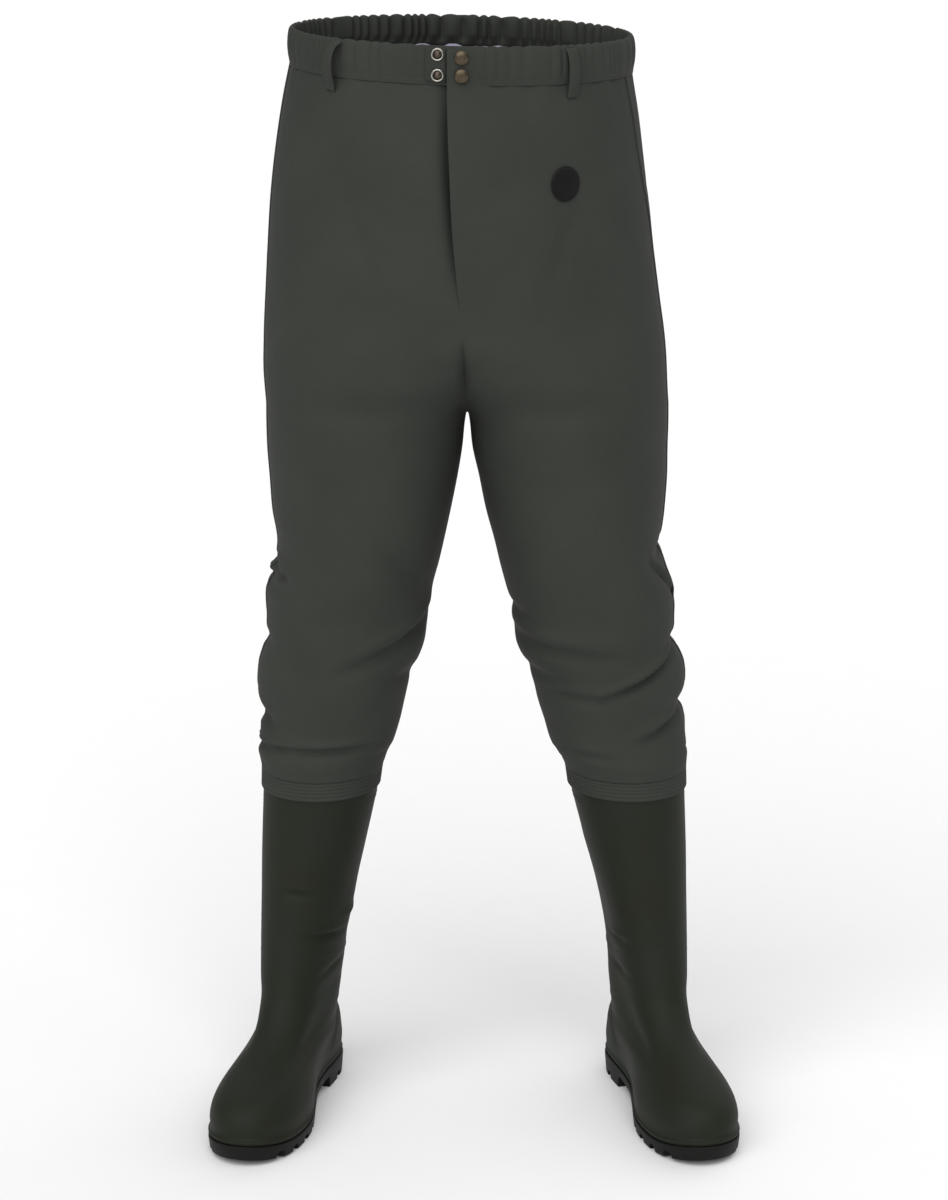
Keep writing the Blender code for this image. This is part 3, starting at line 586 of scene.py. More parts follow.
def pleats(angle):
    """Round gathers of the elastic casing between sharp valleys, uneven in width."""
    turn = 0.5 * PLEATS * angle + waves(PLEAT_WANDER, angle)
    count, size, phase = PLEAT_EASE
    uneven = 1.0 - size * (1.0 + np.sin(count * angle + phase))
    return (np.abs(np.sin(turn)) ** PLEAT_ROUND - PLEAT_MEAN) * uneven * calm_fly(angle)


def puckers(angle):
    """Soft ripple of the cloth that hangs from the gathers."""
    return waves(PUCKERS, angle) * calm_fly(angle)


def waist_plane(x, y):
    """Height of the band's lower edge, which rises to the back and to the wearer's right."""
    return WAIST_Z + WAIST_SLOPE * (y - TORSO[0].y) + WAIST_ROLL * (x - TORSO[0].lean)


def waist_points(angle, grow, height):
    """Points at an outward offset from the waist oval and a height above the band's lower edge."""
    row = TORSO[0]
    depth = np.where(np.cos(angle) > 0.0, row.front, row.back)
    rim = waist_plane(row.lean + row.half_width * np.sin(angle), row.y - depth * np.cos(angle))
    x = row.lean + (row.half_width + grow) * np.sin(angle)
    y = row.y - (depth + grow) * np.cos(angle)
    return np.stack(np.broadcast_arrays(x, y, rim + height), axis=-1)


def waist_outward(angle):
    """Outward direction of the waist oval."""
    row = TORSO[0]
    depth = row.front if math.cos(angle) > 0.0 else row.back
    return unit(np.array((math.sin(angle) / row.half_width, -math.cos(angle) / depth, 0.0)))


def leg_angles():
    """Angles in degrees of the columns of a leg."""
    return FRONT_SEAM + 360.0 / LEG_COLUMNS * np.arange(LEG_COLUMNS)


def leg_levels():
    """Heights of the rings of a leg, closer below the knee."""
    thigh = np.linspace(LEGS[0].z, KNEE_TOP, THIGH_ROWS)
    return np.concatenate((thigh[:-1], np.linspace(KNEE_TOP, HEM_Z, SHIN_ROWS)))


def fuller(angle, z):
    """Forward share of a leg's ring, with its inner half held fuller where the legs part."""
    ahead = np.cos(angle)
    power = 1.0 - CROTCH_FULL * bell((z - CROTCH_FULL_AT) / CROTCH_FULL_REACH)
    return np.where(np.sin(angle) < 0.0, np.sign(ahead) * np.abs(ahead) ** power, ahead)


def torso_grid(side, z, gather_depth, folds=(FLY_TROUGH, *TORSO_FOLDS)):
    """Half rings of the trousers above the crotch."""
    row = rows_at(TORSO, [line.z for line in TORSO], z)
    around = math.pi * np.arange(PANEL_COLUMNS + 1)[None] / PANEL_COLUMNS
    angle = np.radians(leg_angles()[None, :PANEL_COLUMNS + 1])
    crotch = LEGS[0]
    depth = np.where(around < math.pi / 2, row.front, row.back)
    push = fold_push(folds, 0, z[:, None], side * np.degrees(around), TORSO_METRES_PER_DEGREE)
    drop = np.clip(WAIST_Z - z[:, None], 0.0, None) / PUCKER_DROP
    push = push + PUCKER_SHARE * gather_depth * np.exp(-drop) * puckers(side * around)
    x = mix(row.half_width * np.sin(around), crotch.out + crotch.half_width * np.sin(angle), row.split)
    x = x + push * np.sin(around)
    x[:, 0] = 0.0
    x[:, -1] = 0.0
    ahead = mix(depth * np.cos(around), crotch.half_depth * fuller(angle, z[:, None]), row.split)
    y = row.y - ahead - push * np.cos(around)
    tilt = ease((z[:, None] - WAIST_TILT_FROM) / (WAIST_Z - WAIST_TILT_FROM))
    level = z[:, None] + tilt * (WAIST_SLOPE * (y - row.y) + WAIST_ROLL * side * x)
    return np.stack((row.lean + side * x, y, level), axis=-1)


def leg_grid(side, z):
    """Whole rings of one leg, drawn in to the boot at the hem."""
    row = rows_at(LEGS, [line.z for line in LEGS], z)
    degrees = leg_angles()[None]
    angle = np.radians(degrees)
    push = fold_push(LEG_FOLDS, side, z[:, None], degrees, LEG_METRES_PER_DEGREE)
    forward = row.half_depth * fuller(angle, z[:, None]) + push * np.cos(angle)
    outward = (row.half_width + push) * np.sin(angle)
    turn = np.radians(row.turn)
    x = row.out + outward * np.cos(turn) + forward * np.sin(turn)
    y = row.y + outward * np.sin(turn) - forward * np.cos(turn)
    leg = np.stack((row.lean + side * x, y, np.broadcast_to(z[:, None], x.shape)), axis=-1)
    hem = boot_tube(side, z, angle[0], CUFF_WALL + CUFF_PROUD)
    share = ease((HEM_BLEND_FROM - z) / (HEM_BLEND_FROM - HEM_Z))[:, None, None]
    return mix(leg, hem, share)


def foot_points(side, along, outward, z):
    """World places of points in the foot's own frame."""
    x = HEEL_X + along * math.sin(TOE_OUT) + outward * math.cos(TOE_OUT)
    y = HEEL_Y - along * math.cos(TOE_OUT) + outward * math.sin(TOE_OUT)
    return np.stack(np.broadcast_arrays(side * x, y, z), axis=-1)


def seat_height(station):
    """Height of the sole's upper face at a share of the foot's length."""
    return read_smooth([key for key, level in SEAT], [level for key, level in SEAT], station)


def boot_plan(row, angle, grow=0.0):
    """Station, distance along and distance outward of boot rings at some angles."""
    ahead = np.cos(angle)
    station = (1.0 + ahead) / 2.0
    along = mix(row.back - grow, row.front + grow, station)
    half = mix(row.rear_half, row.fore_half, ease((station - WIDEN_FROM) / WIDEN_OVER)) + grow
    power = np.where(ahead > 0.0, np.minimum(row.square, TOE_ROUND), row.square)
    width = half * np.sqrt(np.clip(1.0 - np.abs(ahead) ** power, 0.0, None))
    inner = np.sin(angle) < 0.0
    pinch = row.seat * ARCH_PINCH * bell((station - ARCH_STATION) / ARCH_REACH)
    outward = np.where(inner, pinch - width, width)
    bend = TOE_BEND * ease((along - TOE_BEND_FROM) / TOE_BEND_OVER)
    return station, along, outward - bend - row.lean


def boot_surface(side, ring, angle):
    """Foot-frame distances along and outward, and heights, of the boot's skin."""
    row = rows_at(BOOT, range(len(BOOT)), ring)
    station = (1.0 + np.cos(angle)) / 2.0
    level = mix(row.back_z, row.front_z, station)
    curve = seat_height(station) - mix(SEAT[0][1], SEAT[-1][1], station)
    level = level + row.seat * curve
    degrees = (np.degrees(angle) + 180.0) % 360.0 - 180.0
    push = fold_push(BOOT_FOLDS, side, level, degrees, BOOT_METRES_PER_DEGREE)
    along, outward = boot_plan(row, angle, push)[1:]
    return along, outward, level


def boot_tube(side, z, angle, grow):
    """Rings round the top of the boot at a clearance from its skin."""
    low, high = BOOT[-2], BOOT[-1]
    share = (np.asarray(z)[:, None] - low.back_z) / (high.back_z - low.back_z)
    row = BootRow(*(mix(a, b, share) for a, b in zip(low, high)))
    along, outward = boot_plan(row, angle, grow)[1:]
    return foot_points(side, along, outward, np.asarray(z)[:, None])


def front_depth(x, z, gather_depth):
    """Depth of the trousers' front beside the fly trough, at places seen from the front."""
    side = 1 if np.mean(x) >= TORSO[0].lean else -1
    levels = np.linspace(FRONT_LOW, WAIST_Z, FRONT_ROWS)
    grid = torso_grid(side, levels, gather_depth, TORSO_FOLDS)[:, :PANEL_COLUMNS // 2]
    order = np.argsort(side * grid[..., 0], axis=1)
    grid = np.take_along_axis(grid, order[..., None], axis=1)
    depth = np.empty(np.shape(x))
    for place in np.ndindex(depth.shape):
        across = [np.interp(side * x[place], side * ring[:, 0], np.arange(len(ring))) for ring in grid]
        spot = np.array([ring[int(round(at))] for ring, at in zip(grid, across)])
        y = [np.interp(at, np.arange(len(ring)), ring[:, 1]) for ring, at in zip(grid, across)]
        depth[place] = np.interp(z[place], spot[:, 2], y)
    return depth


def grid_faces(rows, columns, wrap_columns=False, wrap_rows=False):
    """Quads of a grid of points."""
    index = np.arange(rows * columns).reshape(rows, columns)
    if wrap_columns:
        index = np.hstack((index, index[:, :1]))
    if wrap_rows:
        index = np.vstack((index, index[:1]))
    quads = np.stack((index[:-1, :-1], index[:-1, 1:], index[1:, 1:], index[1:, :-1]), axis=-1)
    return quads.reshape(-1, 4).tolist()


def capped(rows, columns):
    """Faces of a tube of points that is closed at both ends."""
    last = (rows - 1) * columns
    ends = [list(range(columns)), list(range(last, last + columns))]
    return grid_faces(rows, columns, wrap_columns=True) + ends


def slab(outer, inner):
    """Closed plate between two grids of points."""
    points = np.concatenate((outer, inner[:, ::-1]), axis=1)
    return points, capped(*points.shape[:2])


def sweep(path, normals, section):
    """Solid with a section of (across, out) pairs carried along a path over a surface."""
    across = unit(np.cross(unit(np.gradient(path, axis=0)), normals))
    section = np.asarray(section, dtype=float)
    if section.ndim == 2:
        section = np.broadcast_to(section, (len(path), *section.shape))
    points = path[:, None] + across[:, None] * section[..., :1] + normals[:, None] * section[..., 1:]
    faces = capped(*points.shape[:2])
    # The first end faces back along the path
    faces[-2].reverse()
    return points, faces


def turned(profile, base, axis, segments=SNAP_SEGMENTS):
    """Round solid turned about an axis from a profile of (radius, height)."""
    axis = np.asarray(axis)
    across = unit(np.cross(axis, UP))
    up = np.cross(across, axis)
    angle = full_turn(segments)
    rim = across * np.cos(angle)[:, None] + up * np.sin(angle)[:, None]
    rings = [base + axis * height + rim * radius for radius, height in profile[1:-1]]
    points = np.concatenate(rings + [[base + axis * profile[0][1]], [base + axis * profile[-1][1]]])
    faces = grid_faces(len(rings), segments, wrap_columns=True)
    low, high = len(points) - 2, len(points) - 1
    last = (len(rings) - 1) * segments
    for step in range(segments):
        following = (step + 1) % segments
        faces.append([following, step, low])
        faces.append([last + step, last + following, high])
    return points, faces


def joined(parts):
    """Several (points, faces) solids as one."""
    points, faces, start = [], [], 0
    for part_points, part_faces in parts:
        points.append(np.asarray(part_points).reshape(-1, 3))
        faces += [[start + index for index in face] for face in part_faces]
        start += len(points[-1])
    return np.concatenate(points), faces


def shaped_mesh(name, solid, weld=0.0):
    """Mesh of points and faces, with its faces out."""
    points, faces = solid
    mesh = bpy.data.meshes.new(name)
    mesh.from_pydata(np.reshape(points, (-1, 3)).tolist(), [], faces)
    shaped = bmesh.new()
    shaped.from_mesh(mesh)
    if weld:
        bmesh.ops.remove_doubles(shaped, verts=shaped.verts, dist=weld)
    bmesh.ops.recalc_face_normals(shaped, faces=shaped.faces)
    shaped.to_mesh(mesh)
    shaped.free()
    return mesh


def add_object(name, data):
    """New object in the scene."""
    made = bpy.data.objects.new(name, data)
    bpy.context.scene.collection.objects.link(made)
    return made


def add_piece(name, solid, finishes, replaced=(), weld=0.0):
    """Mesh object on the frame's only body."""
    mesh = shaped_mesh(name, solid, weld)
    for finish in finishes:
        mesh.materials.append(finish)
    mesh.shade_smooth()
    made = add_object(name, mesh)
    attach(made, "root")
    if replaced:
        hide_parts(*replaced)
    return made


def give_wall(made, thickness, inner_finish=0):
    """Wall of even thickness inside a skin."""
    wall = made.modifiers.new("wall", "SOLIDIFY")
    wall.thickness = thickness
    wall.offset = -1.0
    wall.material_offset = inner_finish


def add_node(tree, kind, sockets, **options):
    """Shader node with its options, socket values and links."""
    made = tree.nodes.new(kind)
    for name, value in options.items():
        setattr(made, name, value)
    for name, value in sockets.items():
        if isinstance(value, bpy.types.NodeSocket):
            tree.links.new(value, made.inputs[name])
        else:
            made.inputs[name].default_value = value
    return made


def start_finish(name, roughness, metallic=0.0, specular=0.5):
    """New material with its constant shader values, its node tree and its object coordinates."""
    made = bpy.data.materials.new(name)
    made.use_nodes = True
    tree = made.node_tree
    shader = tree.nodes["Principled BSDF"]
    shader.inputs["Roughness"].default_value = roughness
    shader.inputs["Metallic"].default_value = metallic
    shader.inputs["Specular IOR Level"].default_value = specular
    place = add_node(tree, "ShaderNodeTexCoord", {}).outputs["Object"]
    return made, tree, shader, place


def tint(tree, shader, factor, colour, dark, light):
    """Colour that runs from a darker to a lighter tone of one colour."""
    ramp = add_node(tree, "ShaderNodeValToRGB", {"Fac": factor})
    for element, share, position in zip(ramp.color_ramp.elements, (dark, light), TINT_RANGE):
        element.color = (*np.multiply(colour, share), 1.0)
        element.position = position
    tree.links.new(ramp.outputs["Color"], shader.inputs["Base Color"])


def vary_gloss(tree, shader, factor, smooth, rough):
    """Roughness that follows a pattern."""
    gloss = add_node(tree, "ShaderNodeMapRange", {"Value": factor, "To Min": smooth, "To Max": rough})
    tree.links.new(gloss.outputs["Result"], shader.inputs["Roughness"])


def woven_finish(name, colour, roughness, contrast=0.07):
    """PVC-coated polyester, calendered: a matt skin through which the plain weave just shows."""
    made, tree, shader, place = start_finish(name, roughness, specular=0.1)
    # Threads of 0.4 mm are too fine for the render, so they are drawn 1.4 mm wide and 9 mm long
    thread, float_length, thread_relief = 0.0014, 0.009, 0.0003
    # Handling marks are about 70 mm across, and the weave adds this share to them
    mark_size, weave_share = 0.07, 0.22
    yarns = []
    for scale in ((float_length, float_length, thread), (thread, thread, float_length)):
        turned_place = add_node(tree, "ShaderNodeMapping", {
            "Vector": place, "Scale": tuple(1.0 / step for step in scale)})
        yarns.append(add_node(tree, "ShaderNodeTexNoise", {
            "Vector": turned_place.outputs["Vector"], "Scale": 1.0, "Detail": 1.0}))
    weave = add_node(tree, "ShaderNodeMath", {
        0: yarns[0].outputs["Fac"], 1: yarns[1].outputs["Fac"]}, operation="ADD")
    marks = add_node(tree, "ShaderNodeTexNoise", {
        "Vector": place, "Scale": 1.0 / mark_size, "Detail": 3.0})
    shade = add_node(tree, "ShaderNodeMath", {
        0: weave.outputs["Value"], 1: weave_share, 2: marks.outputs["Fac"]}, operation="MULTIPLY_ADD")
    level = add_node(tree, "ShaderNodeMath", {
        0: shade.outputs["Value"], 1: weave_share}, operation="SUBTRACT")
    tint(tree, shader, level.outputs["Value"], colour, 1.0 - contrast, 1.0 + contrast)
    bump = add_node(tree, "ShaderNodeBump", {
        "Height": weave.outputs["Value"], "Strength": 0.35, "Distance": thread_relief})
    tree.links.new(bump.outputs["Normal"], shader.inputs["Normal"])
    return made


def moulded_finish(name, colour, roughness, grain, contrast=0.10, warm=0.0, depth=0.0002, specular=0.5):
    """Moulded PVC or rubber: even colour with flow marks of about 50 mm and a fine mould grain."""
    made, tree, shader, place = start_finish(name, roughness, specular=specular)
    flow_size, shinier, duller = 0.05, 0.05, 0.06
    flow = add_node(tree, "ShaderNodeTexNoise", {
        "Vector": place, "Scale": 1.0 / flow_size, "Detail": 4.0})
    hue = np.array((warm, 0.0, -warm))
    tint(tree, shader, flow.outputs["Fac"], colour, 1.0 - contrast + hue, 1.0 + contrast - hue)
    mould = add_node(tree, "ShaderNodeTexNoise", {
        "Vector": place, "Scale": 1.0 / grain, "Detail": 2.0})
    bump = add_node(tree, "ShaderNodeBump", {
        "Height": mould.outputs["Fac"], "Strength": 0.25, "Distance": depth})
    tree.links.new(bump.outputs["Normal"], shader.inputs["Normal"])
    vary_gloss(tree, shader, flow.outputs["Fac"], roughness - shinier, roughness + duller)
    return made


def pressed_finish(name, colour, roughness):
    """Pressed and plated metal: bright, with handling haze in patches of about 2 mm."""
    made, tree, shader, place = start_finish(name, roughness, metallic=1.0)
    haze_size, shinier, duller = 0.002, 0.08, 0.12
    haze = add_node(tree, "ShaderNodeTexNoise", {
        "Vector": place, "Scale": 1.0 / haze_size, "Detail": 3.0})
    tint(tree, shader, haze.outputs["Fac"], colour, dark=0.75, light=1.15)
    vary_gloss(tree, shader, haze.outputs["Fac"], roughness - shinier, roughness + duller)
    return made


def finish_named(name, maker, colour, **look):
    """Material made once and shared by its pieces."""
    return bpy.data.materials.get(name) or maker(name, tuple(colour), **look)


def cloth_finish(colours):
    """Coated cloth of the trousers: a dull, even grey-green."""
    return finish_named("pvc_coated_polyester", woven_finish, colours.cloth, roughness=0.75)


def lining_finish(colours):
    """Knitted backing inside the trousers: pale and without gloss."""
    return finish_named("knitted_backing", woven_finish, colours.lining, roughness=0.85)


def patch_finish(colours):
    """Double cloth under the press studs: a shade darker than the single cloth."""
    darker = [PATCH_SHADE * channel for channel in colours.cloth]
    return finish_named("stud_backing", woven_finish, darker, roughness=0.7)


def thread_finish(colours):
    """Polyester sewing thread: as dark as the cloth, so that only its relief shows."""
    return finish_named("polyester_thread", moulded_finish, colours.thread, roughness=0.75, grain=0.0008)


def boot_finish(colours):
    """Injection-moulded PVC of the boots: olive, with a soft sheen and faint warm flow marks."""
    return finish_named("injection_moulded_pvc", moulded_finish, colours.boot, roughness=0.60,
                        grain=0.0025, contrast=0.13, warm=0.05, specular=0.12)


def rubber_finish(colours):
    """Moulded rubber of the soles: nearly black and dull."""
    return finish_named("moulded_black_rubber", moulded_finish, colours.sole, roughness=0.58, grain=0.002,
                        specular=0.15)


def foam_finish(colours):
    """Die-cut foam of the insoles: dark, open and without gloss."""
    return finish_named("die_cut_foam", moulded_finish, colours.insole, roughness=0.9, grain=0.0012)


def badge_finish(colours):
    """Moulded PVC of the badge: black and smoother than the cloth."""
    return finish_named("moulded_badge_pvc", moulded_finish, colours.badge, roughness=0.45, grain=0.0015,
                        specular=0.2)


def steel_finish(colours):
    """Nickel-plated steel of the press studs: bright and smooth."""
    return finish_named("nickel_plated_steel", pressed_finish, colours.steel, roughness=0.25)


def recess_shade_and_tarnish_finish(colours):
    """Tarnished steel of the stud posts, and painted shade: the same dark brownish steel on the discs
    that fill the hollows inside the press studs.
    """
    return finish_named("tarnished_steel_and_recess_shade", pressed_finish, colours.tarnish_and_recess_shade, roughness=0.3)


def brass_finish(colours):
    """Aged brass of the caps: brown, with a broad highlight."""
    return finish_named("aged_pressed_brass", pressed_finish, colours.brass, roughness=0.36)


def floor_finish(colours):
    """Painted floor: pale and even."""
    return finish_named("painted_floor", moulded_finish, colours.floor, roughness=0.9, grain=0.01,
                        contrast=0.004, depth=0.00001, specular=0.0)


def length_property(name, description, default):
    """Size in metres."""
    return bpy.props.FloatProperty(name=name, description=description, default=default, unit="LENGTH")


def colour_property(name, description, hex_colour):
    """Colour with an sRGB hex default."""
    return bpy.props.FloatVectorProperty(
        name=name, description=description, default=linear(hex_colour), subtype="COLOR")


class WaderSizes(bpy.types.PropertyGroup):
    """Sizes that change the look of the wader"""
    cloth_wall: length_property("Cloth wall", "Thickness of the coated cloth", 0.0013)
    boot_wall: length_property("Boot wall", "Thickness of the moulded boot", 0.0026)
    gather_depth: length_property("Gather depth", "Depth of the ripples of the waistband", 0.0030)
    flap_lift: length_property("Flap lift", "How far the fly's free edge stands off", 0.0075)
    tape_width: length_property("Tape width", "Width of the side seam tape", 0.016)
    tape_height: length_property("Tape height", "Thickness of the side seam tape", 0.0012)
    stitch_length: length_property("Stitch length", "Length of one stitch", 0.0034)
    bead_width: length_property("Mould line width", "Width of the boot's raised lines", 0.0040)
    bead_height: length_property("Mould line height", "Height of the boot's raised lines", 0.0006)


class WaderColours(bpy.types.PropertyGroup):
    """Colours of the wader's materials"""
    cloth: colour_property("Cloth", "Coated cloth", "363834")
    lining: colour_property("Lining", "Cloth backing inside the trousers", "a19fb0")
    boot: colour_property("Boot", "Moulded boots", "21241c")
    sole: colour_property("Sole", "Rubber soles", "121311")
    insole: colour_property("Insole", "Foam insoles", "303032")
    steel: colour_property("Steel", "Plated press studs", "a9a79f")
    brass: colour_property("Brass", "Press-stud caps", "574e40")
    # Tarnished steel of the posts, also used as painted shade on the discs inside the studs
    tarnish_and_recess_shade: colour_property("Tarnish", "Dull steel inside the press studs", "5d534b")
    badge: colour_property("Badge", "Plain badge patch", "080808")
    thread: colour_property("Thread", "Sewing thread", "33362f")
    floor: colour_property("Floor", "Studio floor", "f4f4f4")


def settings(context):
    """Sizes and colours that the scene holds."""
    return context.scene.wader_sizes, context.scene.wader_colours


def trouser_panels(gather_depth):
    """Halves of the torso and legs of the trousers, which meet at the crotch."""
    crotch = LEGS[0]
    torso_z = np.linspace(WAIST_Z + SHELL_TUCK, crotch.z, TORSO_ROWS)
    leg_z = leg_levels()
    panels = []
    for side in SIDES.values():
        torso = torso_grid(side, torso_z, gather_depth)
        leg = leg_grid(side, leg_z)
        leg[0, :PANEL_COLUMNS + 1] = torso[-1]
        leg[0, PANEL_COLUMNS + 1:, 0] = crotch.lean
        panels.append((torso, grid_faces(TORSO_ROWS, PANEL_COLUMNS + 1)))
        panels.append((leg, grid_faces(len(leg_z), LEG_COLUMNS, wrap_columns=True)))
    return joined(panels)


def sharpen_crotch(mesh):
    """Crease where the two front panels turn in to the crotch."""
    places = np.empty(3 * len(mesh.vertices))
    mesh.vertices.foreach_get("co", places)
    x, _, z = places.reshape(-1, 3).T
    ends = np.empty(2 * len(mesh.edges), dtype=np.int32)
    mesh.edges.foreach_get("vertices", ends)
    lean = read_smooth([row.z for row in TORSO], [row.lean for row in TORSO], z)
    on_seam = (np.abs(x - lean) < SEAM_REACH) & (z < CREASE_TOP)
    mesh.edges.foreach_set("use_edge_sharp", on_seam[ends.reshape(-1, 2)].all(axis=1))


class WADER_OT_trousers(bpy.types.Operator):
    """Coated-cloth trousers with their folds and lining"""
    bl_idname = "wader.trousers"
    bl_label = "Trousers"
    bl_options = {"REGISTER", "UNDO"}

    def execute(self, context):
        sizes, colours = settings(context)
        finishes = [cloth_finish(colours), lining_finish(colours)]
        shell = add_piece("trouser_cloth", trouser_panels(sizes.gather_depth), finishes,
                          ["trouser_shell"], weld=SEAM_WELD)
        sharpen_crotch(shell.data)
        give_wall(shell, sizes.cloth_wall, inner_finish=1)
        return {"FINISHED"}


def tape_section(sizes, side):
    """Section of a side tape. Its front edge is the cut edge, so it is the steeper one."""
    half = sizes.tape_width / 2.0
    skin = [(edge * (half - inset), share * sizes.tape_height) for edge, inset, share in TAPE_PROFILE]
    section = [(-half, -TAPE_SINK), *skin, (half, -TAPE_SINK)]
    return [(-side * across, out) for across, out in section]


def evened(directions):
    """Directions along a path with their small turns evened out."""
    for turn in range(TAPE_EVENING):
        directions[1:-1] = directions[:-2] + 2.0 * directions[1:-1] + directions[2:]
        directions = unit(directions)
    return directions


def tape_route(side, sizes):
    """Path of a side tape over the rings of the trousers, and its outward directions."""
    half = sizes.tape_width / 2.0
    torso_z = np.linspace(WAIST_Z - TAPE_BELOW_BAND, LEGS[0].z, TORSO_ROWS)
    torso = torso_grid(side, torso_z, sizes.gather_depth)
    leg = leg_grid(side, leg_levels()[1:])[:, :PANEL_COLUMNS + 1]
    middle = PANEL_COLUMNS // 2
    lines = []
    for ring in np.concatenate((torso, leg)):
        wander = np.interp(ring[middle, 2], *zip(*TAPE_WANDER[side]))
        travel = np.concatenate(([0.0], np.cumsum(np.linalg.norm(np.diff(ring, axis=0), axis=1))))
        at = travel[middle] - wander + np.array((-half, 0.0, half))
        lines.append(np.stack([np.interp(at, travel, ring[:, axis]) for axis in range(3)], axis=-1))
    ahead, path, behind = np.array(lines).swapaxes(0, 1)
    outward = unit(np.cross(behind - ahead, np.gradient(path, axis=0)))
    return path, evened(outward * np.sign(outward[:, :1] * side))


class WADER_OT_side_tapes(bpy.types.Operator):
    """Welded tape over each side seam"""
    bl_idname = "wader.side_tapes"
    bl_label = "Side tapes"
    bl_options = {"REGISTER", "UNDO"}

    def execute(self, context):
        sizes, colours = settings(context)
        for word, side in SIDES.items():
            tape = sweep(*tape_route(side, sizes), tape_section(sizes, side))
            add_piece("side_tape_" + word, tape, [cloth_finish(colours)],
                      ["side_seam_" + word])
        return {"FINISHED"}


def band_solid(gather_depth):
    """Closed ring of the elastic casing, with its gathers and its rippled rim."""
    angle = full_turn(BAND_COLUMNS) - math.pi
    half_height = 0.5 * BAND_HEIGHT
    rings = []
    for offset, height, gather in resampled(BAND, BAND_ROWS):
        sway = PLEAT_SWAY * math.sin(height / BAND_HEIGHT * math.pi)
        ripple = gather_depth * pleats(angle + sway)
        level = height * (1.0 - BAND_BACK_DROP * backness(angle)) + BAND_LIFT
        rise = RIM_RIPPLE * ripple * ease((height - half_height) / half_height)
        rings.append(waist_points(angle, offset + gather * ripple, level + rise))
    return np.array(rings), grid_faces(len(rings), BAND_COLUMNS, wrap_columns=True, wrap_rows=True)


def thread_section(radius):
    """Round section of a thread."""
    angle = full_turn(THREAD_SIDES)
    return np.stack((radius * np.cos(angle), radius * np.sin(angle)), axis=-1)


def stitch_row(sizes):
    """Stitches along the band's lower edge."""
    count = int(2.0 * math.pi * TORSO[0].half_width * WAIST_MEAN / (STITCH_PITCH * sizes.stitch_length))
    stitches = []
    for step in range(count):
        middle = 2.0 * math.pi * step / count - math.pi
        turn = middle + np.linspace(-0.5, 0.5, STITCH_POINTS) * 2.0 * math.pi / count / STITCH_PITCH
        ripple = STITCH_GATHER * sizes.gather_depth * pleats(turn)
        path = waist_points(turn, STITCH_OUT + ripple, STITCH_HEIGHT)
        normals = np.array([waist_outward(place) for place in turn])
        stitches.append(sweep(path, normals, thread_section(STITCH_RADIUS)))
    return joined(stitches)


class WADER_OT_waistband(bpy.types.Operator):
    """Elastic casing with its gathers and the stitch row under it"""
    bl_idname = "wader.waistband"
    bl_label = "Waistband"
    bl_options = {"REGISTER", "UNDO"}

    def execute(self, context):
        sizes, colours = settings(context)
        add_piece("waistband_casing", band_solid(sizes.gather_depth), [cloth_finish(colours)],
                  ["waistband"])
        add_piece("band_stitches", stitch_row(sizes), [thread_finish(colours)])
        return {"FINISHED"}


def band_offset(height):
    """Outward offset of the band's outer face."""
    outer = BAND[:BAND_OUTER_ROWS]
    return np.interp(height, [row.height for row in outer], [row.offset for row in outer])


def flap_solid(sizes):
    """Fly flap from the band's rim down, with a curled free edge and a fixed edge sunk in the cloth."""
    base = waist_plane(TORSO[0].lean, TORSO[0].y - TORSO[0].front)
    top = FlapRow(base + FLAP_TOP_HEIGHT, FLAP[0].edge, FLAP_TOP_LIFT)
    rows = [top, FlapRow(base, FLAP[0].edge, FLAP_BAND_LIFT)] + FLAP
    z = np.linspace(top.z, FLAP[-1].z, FLAP_ROWS)
    row = rows_at(rows, [line.z for line in rows], z)
    share = np.linspace(0.0, 1.0, FLAP_COLUMNS)[None] ** FLAP_CROWD
    over_band = ease((z[:, None] - FLAP[0].z) / (base - FLAP[0].z))
    x = row.edge + share * mix(FLAP_BLEND, FLAP_BAND_BLEND, over_band)
    level = np.broadcast_to(z[:, None], x.shape)
    shell_y = front_depth(x, np.minimum(level, base - FLAP_UNDER_BAND), sizes.gather_depth)
    proud = over_band * (band_offset(level - base) + FLAP_BAND_PROUD * (1.0 - share))
    lift = sizes.flap_lift * np.clip(row.lift, 0.0, None) * (1.0 - share) ** FLAP_CURL
    fade = ease((level - FLAP[-1].z) / FLAP_FOOT)
    y = shell_y - mix(-FLAP_SINK, mix(FLAP_PROUD, -FLAP_SINK, share), fade) - proud - lift
    outer = np.stack((x, y - FLAP_THICKNESS * (1.0 - share) * fade, level), axis=-1)
    return slab(outer, np.stack((x, y, level), axis=-1))


def stud_patch():
    """Patch on the band under the press studs."""
    turn = np.arcsin((np.linspace(*PATCH_X, PATCH_COLUMNS) - TORSO[0].lean) / TORSO[0].half_width)
    heights = np.linspace(*PATCH_HEIGHTS, PATCH_ROWS)[:, None]
    lift = band_offset(heights) + PATCH_LIFT
    return slab(*(waist_points(turn[None], lift + out, heights) for out in (PATCH_THICKNESS, 0.0)))


class WADER_OT_fly(bpy.types.Operator):
    """Fly flap with its free edge, and the patch under the press studs"""
    bl_idname = "wader.fly"
    bl_label = "Fly"
    bl_options = {"REGISTER", "UNDO"}

    def execute(self, context):
        sizes, colours = settings(context)
        add_piece("fly_flap_cloth", flap_solid(sizes), [cloth_finish(colours)],
                  ["fly_flap"])
        add_piece("stud_patch", stud_patch(), [patch_finish(colours)])
        return {"FINISHED"}


def on_band(x, height, lift):
    """Point and outward direction on the band's front, at a lift off its outer face."""
    angle = math.asin((x - TORSO[0].lean) / TORSO[0].half_width)
    return waist_points(angle, band_offset(height) + lift, height), waist_outward(angle)


